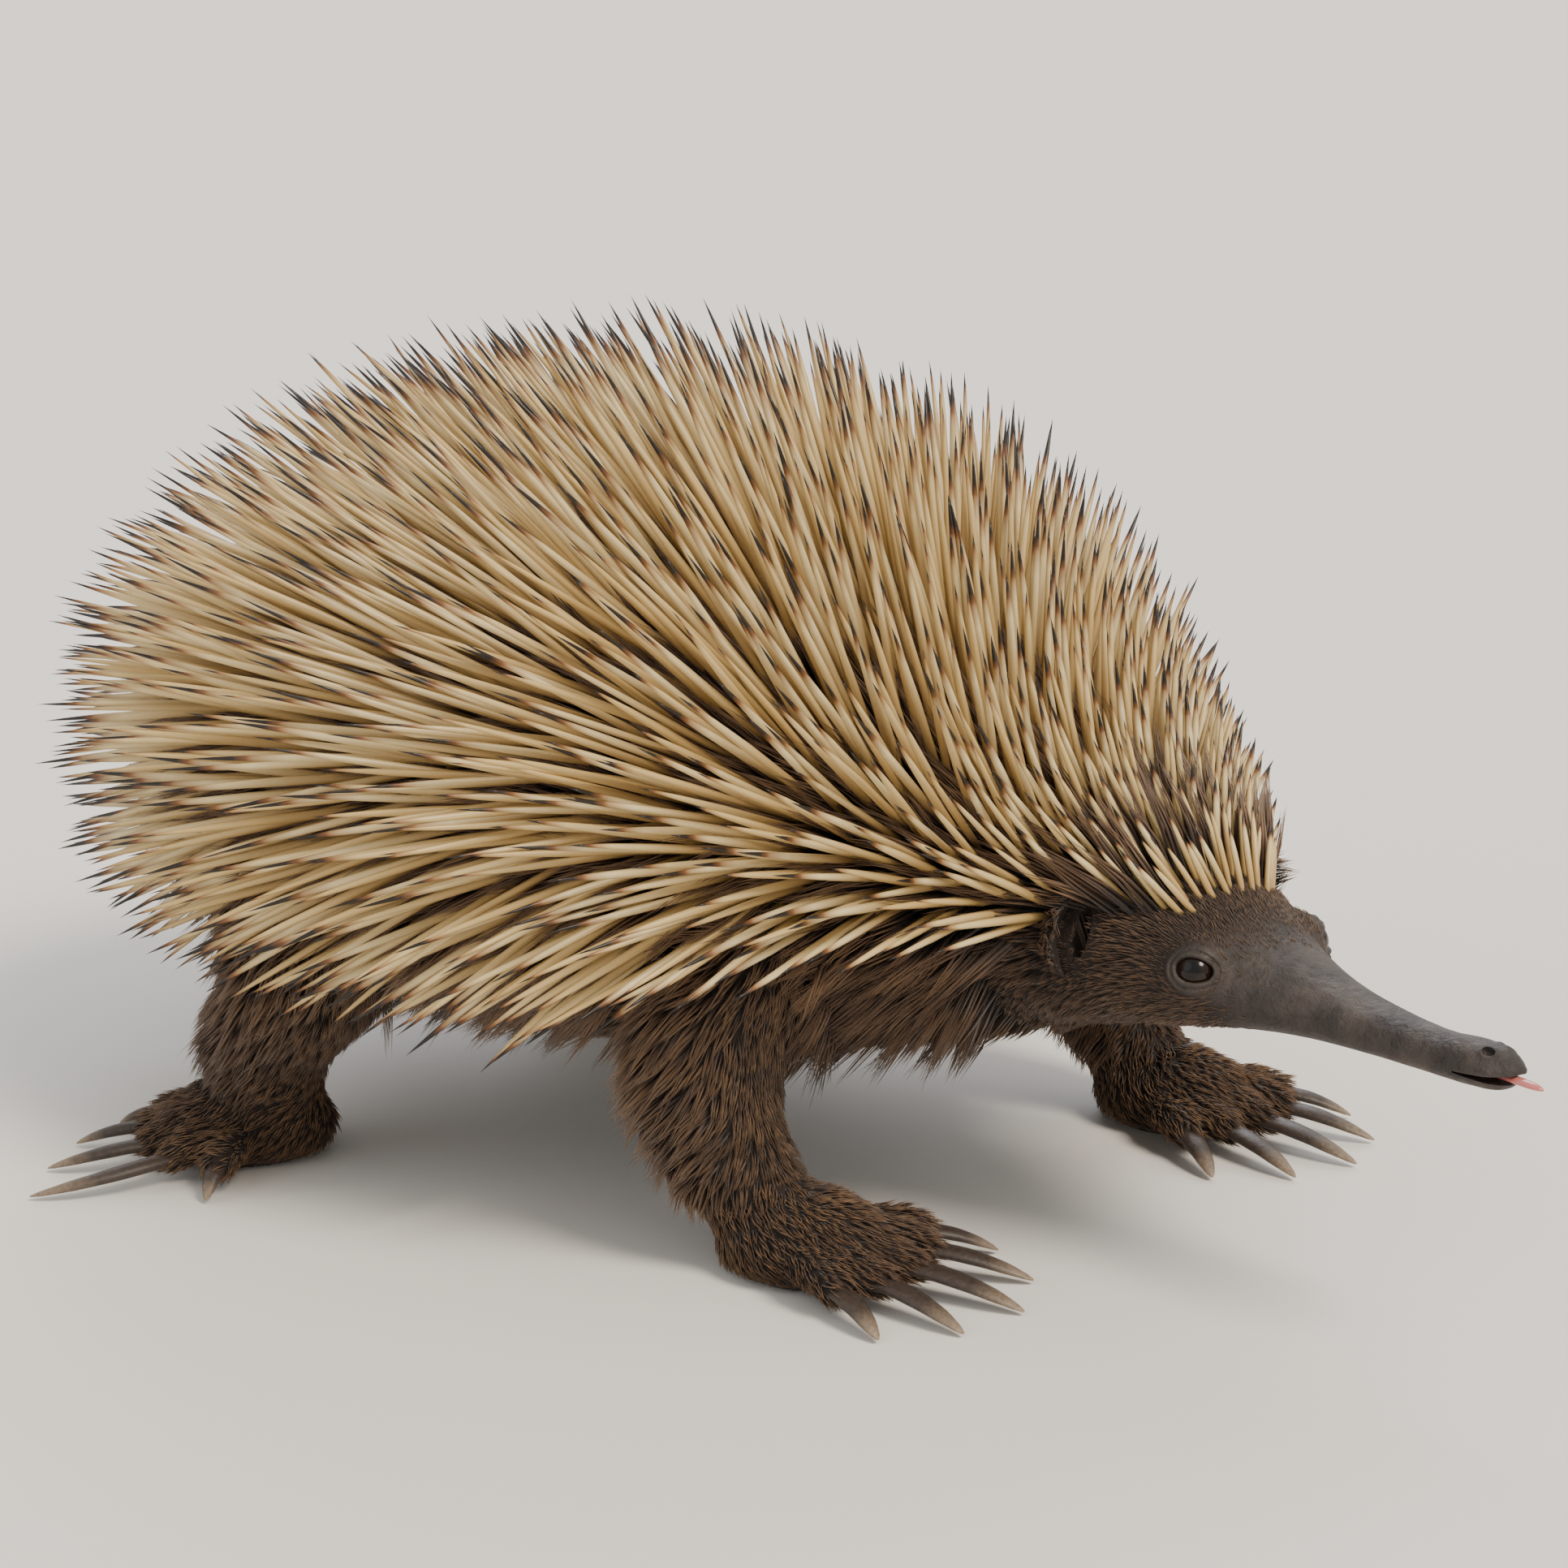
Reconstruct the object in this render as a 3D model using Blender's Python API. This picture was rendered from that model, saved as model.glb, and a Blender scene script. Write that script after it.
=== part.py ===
# A short-beaked echidna at life size, standing on four legs with its head turned a little to its right.
# Metres. +X points out of the snout, +Y to the animal's left and +Z up.
# The origin is the middle of the whole model's box, on the floor.

import math

import bmesh
import bpy
import numpy as np
from mathutils import Matrix, Vector
from mathutils.bvhtree import BVHTree

MM = 0.001
GAP = 0.3 * MM  # the clearance that neighbouring pieces keep

SEED = 7

# The backbone runs level from the rump and turns at the neck.
NECK_START = 92 * MM
NECK_END = 150 * MM
HEAD_TURN = math.radians(16)

# Sections along the backbone, in mm: distance from the middle of the trunk, heights of the back and of the
# belly above the floor, half width, and how deep the coat's core stands on the back and on the belly.
SECTIONS = (
    np.array(
        [
            (-149, 87, 74, 6, 11, 5),
            (-144, 104, 62, 27, 13, 5),
            (-130, 122, 51, 49, 14, 5),
            (-105, 139, 43, 70, 15, 5),
            (-65, 151, 38, 84, 16, 5),
            (-20, 156, 36, 89, 16, 5),
            (25, 151, 38, 85, 16, 5),
            (62, 138, 43, 73, 14, 5),
            (88, 124, 48, 58, 12, 5),
            (108, 113, 52.5, 45, 10, 4.5),
            (128, 105.5, 57, 35, 8, 4),
            (148, 99, 60, 28.5, 5, 3),
            (163, 93, 62, 23.5, 3, 2),
            (177, 86, 64, 17, 1, 0.8),
            (192, 80.5, 65.4, 12, 0, 0),
            (210, 77, 65.8, 8.8, 0, 0),
            (228, 75.6, 65.6, 7.2, 0, 0),
            (241, 76.2, 65.8, 6.8, 0, 0),
            (247, 75.2, 66.9, 5.2, 0, 0),
            (250, 73, 69, 2.4, 0, 0),
        ]
    )
    * MM
)
WIDEST_SHARE = 0.45  # of the section's height
BACK_POWER = 1.0
BELLY_POWER = 0.82  # under 1 is squarer than an ellipse
COAT_EDGE = (-0.5, 0.05)  # sine of the angle where the belly's coat gives way to the back's

# Rings of each part of the body, as distances along the backbone in mm.
TORSO_RINGS = (-149, -147, -142, -131, -113, -88, -58, -25, 8, 38, 64, 86, 103, 116)
HEAD_RINGS = (116, 127, 138, 148, 156, 163, 170, 177, 184)
SNOUT_RINGS = (184, 192, 201, 212, 224, 235, 241, 245, 248, 250)
BODY_SIDES = 28
SNOUT_SIDES = 18

# Limbs, for the left side: x, y, z and radius along each leg, in mm. The right side mirrors them.
FUR = 4 * MM  # depth of the legs' short coat, which their solids include
FRONT_LEG = ((66, 40, 84, 25), (60, 62, 68, 21), (59, 76, 50, 17.5), (67, 78, 31, 14), (78, 76, 15, 12.5))
HIND_LEG = ((-86, 44, 94, 32), (-72, 70, 68, 25), (-74, 82, 48, 19), (-88, 85, 30, 14.5), (-92, 84, 15, 13))
LEG_SIDES = 11
LEG_RINGS = 7
STRIDE = 9 * MM  # how far the left feet stand out from the middle of the walk, and the right feet in

# Feet, for the left side, in mm: centre, half sizes, heading from straight ahead towards the outside.
FRONT_PAW = {"centre": (89, 74, 8), "half": (23, 18, 14), "heading": math.radians(-6)}
HIND_FOOT = {"centre": (-96, 88, 8), "half": (24, 17, 14), "heading": math.radians(128)}
# Toes: angle from the foot's heading in degrees (positive towards the outside), where each starts to the
# side, its reach from the foot's centre, then the claw's length, width, thickness and turn in plan.
FRONT_TOES = (
    (-30, -13, 25, 17, 6.4, 3.4, -6),
    (-13, -7, 30, 24, 7.0, 3.6, -3),
    (0, 0, 32, 27, 7.4, 3.8, 0),
    (13, 7, 30, 24, 7.0, 3.6, 3),
    (28, 13, 25, 17, 6.4, 3.4, 6),
)
HIND_TOES = (
    (-62, -12, 23, 8, 5.0, 3.4, 0),
    (-26, -8, 26, 36, 6.2, 4.0, 44),
    (-6, -2, 28, 25, 5.8, 3.8, 32),
    (12, 5, 27, 18, 5.4, 3.6, 24),
    (32, 11, 23, 13, 5.0, 3.4, 16),
)
TOE_RADIUS = 5.2 * MM
TOE_HEIGHT = 6.4 * MM
CLAW_TIP_HEIGHT = 1.2 * MM
CLAW_ROOM = 0.2 * MM  # kept where a claw passes a toe; under the gap, so that its own toe's face stays whole

# Spines. Each field is looked up by distance along the backbone in mm: length and spacing on the back, and how
# far a spine lifts from the skin in degrees. The flanks and the lower edge are scaled from these.
SPINE_FIELDS = np.array(
    [
        (-149, 42, 9.4, 36),
        (-120, 48, 9.8, 42),
        (-60, 54, 10.3, 47),
        (20, 52, 10.3, 50),
        (70, 44, 9.8, 57),
        (105, 36, 9.3, 62),
        (125, 27, 8.4, 62),
        (142, 18, 7.6, 58),
        (158, 11, 6.8, 50),
    ],
    float,
)
SPINE = {"radius": 2.5 * MM, "sunk": 8 * MM, "varied": 0.13, "lift_varied": 5, "splay_varied": 7}
# How low the spines reach, as the angle from the level of the backbone in degrees at distances along it in mm.
BACK_LOW = ((-149, -28), (-100, -20), (-40, -16), (40, -12), (90, 4), (112, 10))
CROWN_LOW = ((120, 8), (158, 52))
FLANK_SPINE = {"length": 0.78, "lift": 0.78}  # at the widest level, as shares of the back's
EDGE_SPINE = {"length": 0.56, "lift": 0.5}  # at the lowest row
DOWNWARD_SPLAY = math.radians(34)  # how far the lowest spines turn from straight back to straight down
SPINE_ROOM = 3.4 * MM  # the least between the middle lines of two spines
BACK_TRIES, CROWN_TRIES = 20000, 3000  # places drawn before those too near another are dropped
CLEAR = GAP + 0.5 * MM  # what a spine or lock keeps from every other piece, beside its own thickness
TAIL_SPINE = {"length": 30, "varied": 4, "lift": 40, "lift_varied": 6, "sunk": 6, "thick": 0.85}
TAIL_SPINE_ROWS = np.linspace(0.2, 0.92, 4)  # shares of the tail's length
TAIL_SPINE_TURNS = np.arange(-25, 206, 38)  # degrees round the tail, from its left side up over its top

# Locks of coarse hair, in mm: length, width, thickness, lift from the skin in degrees and curve back to it.
FRINGE_LOCK = (27, 15, 3.0, 32, 13)
LEG_LOCK = (21, 12, 2.6, 34, 15)
CHEEK_LOCK = (15, 9, 2.0, 34, 13)
LOCK_SUNK = 4.5 * MM
# Where they grow: distance along the backbone in mm, and the sine of the angle from its level.
FRINGE = [(s, -0.55) for s in range(-126, 100, 17)]
SHOULDER = [(64, -0.32), (76, -0.2), (82, -0.5), (92, -0.3), (98, -0.62), (106, -0.1), (110, -0.42)]
CHEEK = [(124, 0.1), (126, -0.35), (134, -0.62), (140, -0.2), (147, -0.5), (152, -0.05), (158, -0.4)]
LEG_LOCK_ROWS = np.linspace(0.3, 0.8, 5)  # shares of the leg's length
LEG_LOCK_TURNS = ((110, 175), (142, 205))  # degrees from straight ahead, in alternate rows

# Tail stub: x, z and radius, in mm.
TAIL = ((-132, 92, 24), (-154, 80, 19), (-172, 70, 14), (-186, 61, 8), (-190, 58, 4))

EYE = {"s": 169 * MM, "angle": math.radians(17), "radius": 4.6 * MM, "sunk": 2.9 * MM}
LID = {"radius": 4.7 * MM, "thick": 1.2 * MM, "squash": 0.78}
EAR = {"s": 139 * MM, "angle": math.radians(14), "height": 21 * MM, "proud": 4.6 * MM, "thick": 2.0 * MM}
EAR_HOLLOW = (2.6 * MM, 7.5 * MM, 4.5 * MM)  # half sizes along the head, up it and into it
MOUTH = {"from": 238 * MM, "to": 258 * MM, "height": 69.4 * MM, "gape": 2.5 * MM}
LIP_RADIUS = 0.8 * MM
LIPS = ((71.2 * MM, 250.3 * MM), (67.6 * MM, 248.4 * MM))  # height of each, and where it rounds the tip
TONGUE = {"from": 240 * MM, "to": 256 * MM, "wide": 3.4 * MM, "thick": 1.8 * MM}
NOSTRIL = {"s": 242.5 * MM, "side": 2.9 * MM, "height": 75.4 * MM, "radius": 1.3 * MM}

COLOURS = {
    "coat": ((0.10, 0.065, 0.042), 0.85),
    "beak": ((0.06, 0.05, 0.045), 0.42),
    "claw": ((0.16, 0.12, 0.09), 0.35),
    "eye": ((0.012, 0.008, 0.006), 0.08),
    "tongue": ((0.55, 0.20, 0.18), 0.35),
}


# Shape of the body

def smooth_step(low, high, value):
    share = np.clip((value - low) / (high - low), 0, 1)
    return share * share * (3 - 2 * share)


def section_at(s):
    """The numbers of a section at any distance, on a smooth curve through the table."""
    keys, rows = SECTIONS[:, 0], SECTIONS[:, 1:]
    slopes = np.gradient(rows, keys, axis=0)
    s = np.clip(np.asarray(s, float), keys[0], keys[-1])
    i = np.clip(np.searchsorted(keys, s, side="right") - 1, 0, len(keys) - 2)
    span = (keys[i + 1] - keys[i])[..., None]
    u = (s - keys[i])[..., None] / span
    start = (2 * u**3 - 3 * u**2 + 1) * rows[i] + (u**3 - 2 * u**2 + u) * span * slopes[i]
    end = (3 * u**2 - 2 * u**3) * rows[i + 1] + (u**3 - u**2) * span * slopes[i + 1]
    return np.moveaxis(start + end, -1, 0)


BACKBONE_S = np.arange(-0.2, 0.3, MM)
BACKBONE_HEADING = -HEAD_TURN * smooth_step(NECK_START, NECK_END, BACKBONE_S)
BACKBONE_X = np.cumsum(np.cos(BACKBONE_HEADING)) * MM + BACKBONE_S[0] - MM
BACKBONE_Y = np.cumsum(np.sin(BACKBONE_HEADING)) * MM


def beside_backbone(s, side, height):
    """The point at a distance along the backbone, this far to its left and this high."""
    heading = np.interp(s, BACKBONE_S, BACKBONE_HEADING)
    x = np.interp(s, BACKBONE_S, BACKBONE_X) - side * np.sin(heading)
    y = np.interp(s, BACKBONE_S, BACKBONE_Y) + side * np.cos(heading)
    return np.stack(np.broadcast_arrays(x, y, height), axis=-1)


def skin_at(s, angle):
    """A point of the skin, by distance along the backbone and angle from the left side up over the back."""
    top, belly, half, _, _ = section_at(s)
    level = belly + WIDEST_SHARE * (top - belly)
    across, up = np.cos(angle), np.sin(angle)
    power = np.where(up > 0, BACK_POWER, BELLY_POWER)
    reach = np.where(up > 0, top - level, level - belly)
    side = half * np.sign(across) * np.abs(across) ** power
    return beside_backbone(s, side, level + reach * np.sign(up) * np.abs(up) ** power)


def half_width_at(s, height):
    """How far the skin stands to either side of the backbone at a height."""
    top, belly, half, _, _ = section_at(s)
    level = belly + WIDEST_SHARE * (top - belly)
    reach, power = (top - level, BACK_POWER) if height > level else (belly - level, BELLY_POWER)
    return half * max(0, 1 - ((height - level) / reach) ** (2 / power)) ** (power / 2)


def normal_at(s, angle):
    step = 0.1 * MM
    along = skin_at(s + step, angle) - skin_at(s - step, angle)
    around = skin_at(s, angle + 1e-3) - skin_at(s, angle - 1e-3)
    out = np.cross(around, along)
    return out / np.linalg.norm(out, axis=-1, keepdims=True)


def core_at(s, angle, over=0.0):
    """The surface of the coat's core over the skin, or this far over that."""
    *_, back, belly = section_at(s)
    share = smooth_step(*COAT_EDGE, np.sin(angle))
    depth = belly + (back - belly) * share + over
    return skin_at(s, angle) + normal_at(s, angle) * depth[..., None]


# Meshes

def loft(name, rings):
    """A closed mesh through rings of points, each end closed round its middle."""
    mesh = bmesh.new()
    rows = [[mesh.verts.new(point) for point in ring] for ring in rings]
    for near, far in zip(rows, rows[1:]):
        for i in range(len(near)):
            j = (i + 1) % len(near)
            mesh.faces.new((near[i], near[j], far[j], far[i]))
    for row in (rows[0], rows[-1]):
        middle = mesh.verts.new(sum((v.co for v in row), Vector()) / len(row))
        for i in range(len(row)):
            mesh.faces.new((row[i], row[(i + 1) % len(row)], middle))
    bmesh.ops.recalc_face_normals(mesh, faces=mesh.faces)
    # Copies of a surface are split along the same diagonals, so that a cutter lies evenly over what it copies.
    bmesh.ops.triangulate(mesh, faces=mesh.faces, quad_method="FIXED")
    data = bpy.data.meshes.new(name)
    mesh.to_mesh(data)
    mesh.free()
    return add_object(name, data)


def add_object(name, data):
    made = bpy.data.objects.new(name, data)
    SOLIDS.objects.link(made)
    return made


def ellipse_rings(path, halves, turns=0.0, sides=8):
    """Upright rings round a path. halves gives each ring's half width and half thickness."""
    path = np.asarray(path, float)
    ways = np.gradient(path, axis=0)
    rings = []
    for point, way, (wide, thick) in zip(path, ways, halves):
        way = way / np.linalg.norm(way)
        side = np.cross((0, 0, 1), way)
        side /= np.linalg.norm(side)
        up = np.cross(way, side)
        angles = np.arange(sides) * math.tau / sides + turns
        rings.append(point + np.outer(np.cos(angles) * wide, side) + np.outer(np.sin(angles) * thick, up))
    return rings


def curve_through(points, count):
    """Points spread evenly along a smooth curve through rows of numbers."""
    points = np.asarray(points, float)
    keys = np.concatenate([[0], np.cumsum(np.linalg.norm(np.diff(points[:, :3], axis=0), axis=1))])
    slopes = np.gradient(points, keys, axis=0)
    s = np.linspace(0, keys[-1], count)
    i = np.clip(np.searchsorted(keys, s, side="right") - 1, 0, len(keys) - 2)
    span = (keys[i + 1] - keys[i])[:, None]
    u = (s - keys[i])[:, None] / span
    start = (2 * u**3 - 3 * u**2 + 1) * points[i] + (u**3 - 2 * u**2 + u) * span * slopes[i]
    return start + (3 * u**2 - 2 * u**3) * points[i + 1] + (u**3 - u**2) * span * slopes[i + 1]


def replace_mesh(target, data):
    old = target.data
    target.modifiers.clear()
    target.data = data
    bpy.data.meshes.remove(old)


def combine(target, others, operation, solver="EXACT"):
    """Joins the other objects to the target, or cuts them from it, and removes them."""
    group = bpy.data.collections.new("pieces")
    bpy.context.scene.collection.children.link(group)
    for other in others:
        for held in list(other.users_collection):
            held.objects.unlink(other)
        group.objects.link(other)
    step = target.modifiers.new(operation.lower(), "BOOLEAN")
    step.operation, step.operand_type, step.collection, step.solver = operation, "COLLECTION", group, solver
    bpy.context.view_layer.update()
    seen = target.evaluated_get(bpy.context.evaluated_depsgraph_get())
    replace_mesh(target, bpy.data.meshes.new_from_object(seen))
    for other in others:
        bpy.data.meshes.remove(other.data)
    bpy.data.collections.remove(group)
    keep_largest(target)


def keep_largest(target):
    """Drops all but the largest closed surface of a mesh."""
    mesh = bmesh.new()
    mesh.from_mesh(target.data)
    left = set(mesh.verts)
    groups = []
    while left:
        found, edge = set(), [left.pop()]
        while edge:
            vertex = edge.pop()
            found.add(vertex)
            near = {e.other_vert(vertex) for e in vertex.link_edges} & left
            left -= near
            edge.extend(near)
        groups.append(found)
    groups.sort(key=len)
    for group in groups[:-1]:
        bmesh.ops.delete(mesh, geom=list(group), context="VERTS")
    mesh.to_mesh(target.data)
    mesh.free()


def grown_copy(source, by):
    """A copy of a solid with its surface moved out, to cut a neighbour clear of it."""
    data = source.data.copy()
    mesh = bmesh.new()
    mesh.from_mesh(data)
    for vertex, shift in [(v, v.normal * (by * v.calc_shell_factor())) for v in mesh.verts]:
        vertex.co += shift
    mesh.to_mesh(data)
    mesh.free()
    return add_object(source.name + "_cutter", data)


def cut_clear(target, *neighbours, room=GAP):
    combine(target, [grown_copy(n, room) for n in neighbours], "DIFFERENCE")


def cut_clear_of_torso(target):
    for over in (GAP, 0):
        combine(target, [body_part("torso_cutter", TORSO_RINGS, BODY_SIDES, (0, GAP / 2), over)], "DIFFERENCE")


def trim_below_floor(target):
    """Cuts a solid flat at the floor."""
    mesh = bmesh.new()
    mesh.from_mesh(target.data)
    whole = mesh.verts[:] + mesh.edges[:] + mesh.faces[:]
    bmesh.ops.bisect_plane(mesh, geom=whole, plane_co=(0, 0, 0), plane_no=(0, 0, -1), clear_outer=True)
    bmesh.ops.holes_fill(mesh, edges=[e for e in mesh.edges if e.is_boundary])
    bmesh.ops.recalc_face_normals(mesh, faces=mesh.faces)
    mesh.to_mesh(target.data)
    mesh.free()


def ball(name, centre, halves, turn=0.0, segments=14, rings=9):
    mesh = bmesh.new()
    place = Matrix.Translation(centre) @ Matrix.Rotation(turn, 4, "Z") @ Matrix.Diagonal((*halves, 1))
    bmesh.ops.create_uvsphere(mesh, u_segments=segments, v_segments=rings, radius=1, matrix=place)
    data = bpy.data.meshes.new(name)
    mesh.to_mesh(data)
    mesh.free()
    return add_object(name, data)


# Parts

def body_part(name, stations, sides, trims, over=0.0):
    """A length of the body between two stations, shortened where it meets another by half the gap."""
    s = np.array(stations) * MM
    s[0] += trims[0]
    s[-1] -= trims[1]
    angles = np.arange(sides) * math.tau / sides
    return loft(name, [core_at(np.full(sides, station), angles, over) for station in s])


def turned(point, side):
    """A point of the left side, in mm, put on the side asked for: 1 is left and -1 is right."""
    return np.array((point[0], point[1] * side, point[2])) * MM


def stride_of(side, front):
    """How far a foot is moved along the body: the left feet stand wide and the right feet close."""
    return STRIDE * side * (1 if front else -1)


def foot(name, plan, toes, side, shift):
    """A foot with its toes, flat on the floor."""
    centre = turned(plan["centre"], side) + (shift, 0, 0)
    heading = plan["heading"] * side
    made = ball(name, centre, np.array(plan["half"]) * MM, heading, segments=12, rings=8)
    digits = []
    for number, (angle, start, reach, *_) in enumerate(toes):
        root, tip, way = toe_line(centre, heading, side, angle, start, reach)
        path = [root, root * 0.45 + tip * 0.55 + Vector((0, 0, 1.2 * MM)), tip]
        halves = [(TOE_RADIUS * share, TOE_RADIUS * share) for share in (0.8, 1, 0.86)]
        digits.append(loft(f"toe_{number}", ellipse_rings(path, halves, math.pi / 6, 6)))
    combine(made, digits, "UNION")
    trim_below_floor(made)
    return made


def toe_line(centre, heading, side, angle, start, reach):
    """Root and tip of a toe, and the way it points."""
    ahead = Vector((math.cos(heading), math.sin(heading), 0))
    out = Vector((-ahead.y, ahead.x, 0)) * side
    turn = heading + math.radians(angle) * side
    way = Vector((math.cos(turn), math.sin(turn), 0))
    root = Vector(centre) + out * (start * MM) + ahead * (4 * MM)
    tip = root + way * ((reach - 4) * MM)
    root.z, tip.z = TOE_HEIGHT + 2 * MM, TOE_HEIGHT
    return root, tip, way


def claws(name, plan, toes, side, shift):
    """The claws of one foot, each from the end of its toe, curved down to just above the floor."""
    centre = turned(plan["centre"], side) + (shift, 0, 0)
    heading = plan["heading"] * side
    made = []
    for number, (angle, start, reach, length, width, thick, bend) in enumerate(toes, 1):
        _, tip, way = toe_line(centre, heading, side, angle, start, reach)
        base = math.atan2(way.y, way.x)
        shares = np.array((0, 0.35, 0.72, 1.0))
        turns = base + math.radians(bend) * side * shares
        steps = np.diff(shares)[:, None] * length * MM
        mids = (turns[1:] + turns[:-1]) / 2
        path = np.zeros((len(shares), 3))
        path[1:, :2] = np.cumsum(np.stack([np.cos(mids), np.sin(mids)], 1) * steps, axis=0)
        path += np.array(tip + way * GAP)
        path[:, 2] = TOE_HEIGHT + (CLAW_TIP_HEIGHT - TOE_HEIGHT) * shares**1.7
        taper = np.array((1, 0.98, 0.72, 0.18))
        halves = [(width / 2 * t * MM, thick / 2 * t * MM) for t in taper]
        rings = ellipse_rings(path, halves, math.pi / 6, 6)
        # The first ring stands square to the toe, so that the two faces lie side by side.
        rings[0] -= np.outer((rings[0] - path[0]) @ np.array(way), np.array(way))
        made.append(loft(f"{name}_{number}", rings))
    return made


def leg_rows(points, side, shift):
    """The middle line and radius of a leg, spread evenly from inside the body down to the foot."""
    points = np.array(points, float)
    points[:, 1] *= side
    points *= MM
    points[:, 0] += shift * smooth_step(0, len(points) - 1, np.arange(len(points)))
    points[:, 3] += FUR
    return curve_through(points, LEG_RINGS)


def leg_rings(rows):
    """Rings round a leg, each turned half way from level to square, so that none cross in a bend."""
    ways = np.gradient(rows[:, :3], axis=0)
    ways /= np.linalg.norm(ways, axis=1)[:, None]
    ways += (0, 0, -1)
    angles = np.arange(LEG_SIDES) * math.tau / LEG_SIDES
    rings = []
    for (x, y, z, radius), way in zip(rows, ways):
        way = way / np.linalg.norm(way)
        ahead = np.cross((0, 1, 0), way)
        ahead /= np.linalg.norm(ahead)
        across = np.cross(way, ahead)
        rings.append((x, y, z) + radius * (np.outer(np.cos(angles), ahead) + np.outer(np.sin(angles), across)))
    return rings


def leg(name, points, side, shift, its_foot):
    """A leg from inside the body down to its foot, cut clear of both, and its middle line."""
    rows = leg_rows(points, side, shift)
    made = loft(name, leg_rings(rows))
    cut_clear(made, its_foot)
    cut_clear_of_torso(made)
    return made, rows


def tail():
    points = np.array(TAIL, float) * MM
    path = np.stack([points[:, 0], np.zeros(len(points)), points[:, 1]], axis=1)
    halves = [(r * 1.15, r) for r in points[:, 2]]
    made = loft("tail", ellipse_rings(path, halves, 0, 12))
    cut_clear_of_torso(made)
    return made


# Spines and locks

def frame_at(s, angle):
    """A point of the coat's core, the way out of it, the way back along it and the way down its side."""
    point = Vector(core_at(s, angle))
    out = Vector(normal_at(s, angle))
    back = -Vector(core_at(s + MM, angle) - core_at(s - MM, angle)).normalized()
    back = (back - out * back.dot(out)).normalized()
    down = out.cross(back) * (-1 if math.cos(angle) > 0 else 1)
    return point, out, back, down


def spine_mesh(root, way, length, thick):
    """A three-sided spine, tapering from its sunk root to a point."""
    side = way.orthogonal().normalized()
    other = way.cross(side)
    corners = [math.tau * k / 3 for k in range(3)]
    points = [root + (side * math.cos(c) + other * math.sin(c)) * SPINE["radius"] * thick for c in corners]
    return [*points, root + way * length], [(2, 1, 0), (0, 1, 3), (1, 2, 3), (2, 0, 3)]


def lock_mesh(root, out, way, sizes):
    """A flat lock with a low ridge, that lifts from the skin, bends back along it and tapers to a point."""
    length, width, thick, lift, bend = sizes
    side = out.cross(way).normalized()
    middle = root - way * LOCK_SUNK - out * (LOCK_SUNK * 0.5)
    rows, angle = [], math.radians(lift)
    for wide, deep in ((0.8, 1.0), (1.0, 1.0), (0.66, 0.8)):
        across, up = side * (width * MM / 2 * wide), out * (thick * MM * deep)
        rows.append([middle - across, middle + across, middle + up])
        middle = middle + (way * math.cos(angle) + out * math.sin(angle)) * ((length * MM + LOCK_SUNK) / 3)
        angle -= math.radians(bend)
    points = rows[0] + rows[1] + rows[2] + [middle]
    faces = [(2, 1, 0)]
    for row in (0, 3):
        for k in range(3):
            n = (k + 1) % 3
            faces += [(row + k, row + n, row + 3 + n), (row + k, row + 3 + n, row + 3 + k)]
    faces += [(6 + k, 6 + (k + 1) % 3, 9) for k in range(3)]
    return points, faces


def grown_object(name, shape):
    data = bpy.data.meshes.new(name)
    data.from_pydata([tuple(p) for p in shape[0]], [], shape[1])
    mesh = bmesh.new()
    mesh.from_mesh(data)
    bmesh.ops.recalc_face_normals(mesh, faces=mesh.faces)
    mesh.to_mesh(data)
    mesh.free()
    return add_object(name, data)


def tree_of(solid):
    return BVHTree.FromPolygons([v.co for v in solid.data.vertices], [p.vertices for p in solid.data.polygons])


def middle_line(shape):
    """Samples of a spine's or lock's middle line from root to tip, each with its half width there."""
    points = shape[0]
    rows = [points[i : i + 3] for i in range(0, len(points) - 1, 3)] + [points[-1:]]
    middles = [sum(row, Vector()) / len(row) for row in rows]
    reach = [max((p - middle).length for p in row) for row, middle in zip(rows, middles)]
    samples = []
    for near, far, wide, wider in zip(middles, middles[1:], reach, reach[1:]):
        for share in np.linspace(0, 1, 3 + int((far - near).length / (3 * MM))):
            samples.append((near.lerp(far, share), wide + (wider - wide) * share))
    return samples


def is_clear(shape, trees):
    """Whether a spine or lock stays clear of the floor and of every other piece."""
    for sample, reach in middle_line(shape):
        room = CLEAR + reach
        if sample.z < room or any(tree.find_nearest(sample, room)[0] is not None for tree in trees):
            return False
    return True


def uncrossed(spines):
    """The spines that run into none of those before them."""
    kept, lines = [], np.zeros((0, 3))
    for shape in spines:
        line = np.array([sample for sample, _ in middle_line(shape)])
        near = np.linalg.norm(lines[:, None] - line[None], axis=2).min() if len(lines) else 1
        if near > SPINE_ROOM:
            kept.append(shape)
            lines = np.concatenate([lines, line])
    return kept


def scatter(lows, rng, tries):
    """Places spread over the back above its lowest spines, none nearer another than the spacing there."""
    stations, degrees = zip(*lows)
    s = rng.uniform(stations[0], stations[-1], tries) * MM
    low = np.radians(np.interp(s / MM, stations, degrees))
    angle = low + rng.uniform(0, 1, tries) * (math.pi - 2 * low)
    across = core_at(s, angle + 0.01) - core_at(s, angle - 0.01)
    along = core_at(s + MM, angle) - core_at(s - MM, angle)
    area = np.linalg.norm(np.cross(across, along), axis=1) * (math.pi - 2 * low)
    points = core_at(s, angle)
    apart = field("spacing", s) * MM
    found = []
    for i in np.flatnonzero(rng.uniform(0, area.max(), tries) < area):
        if not found or np.linalg.norm(points[found] - points[i], axis=1).min() > apart[i]:
            found.append(i)
    return [(s[i], angle[i]) for i in found]


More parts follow.
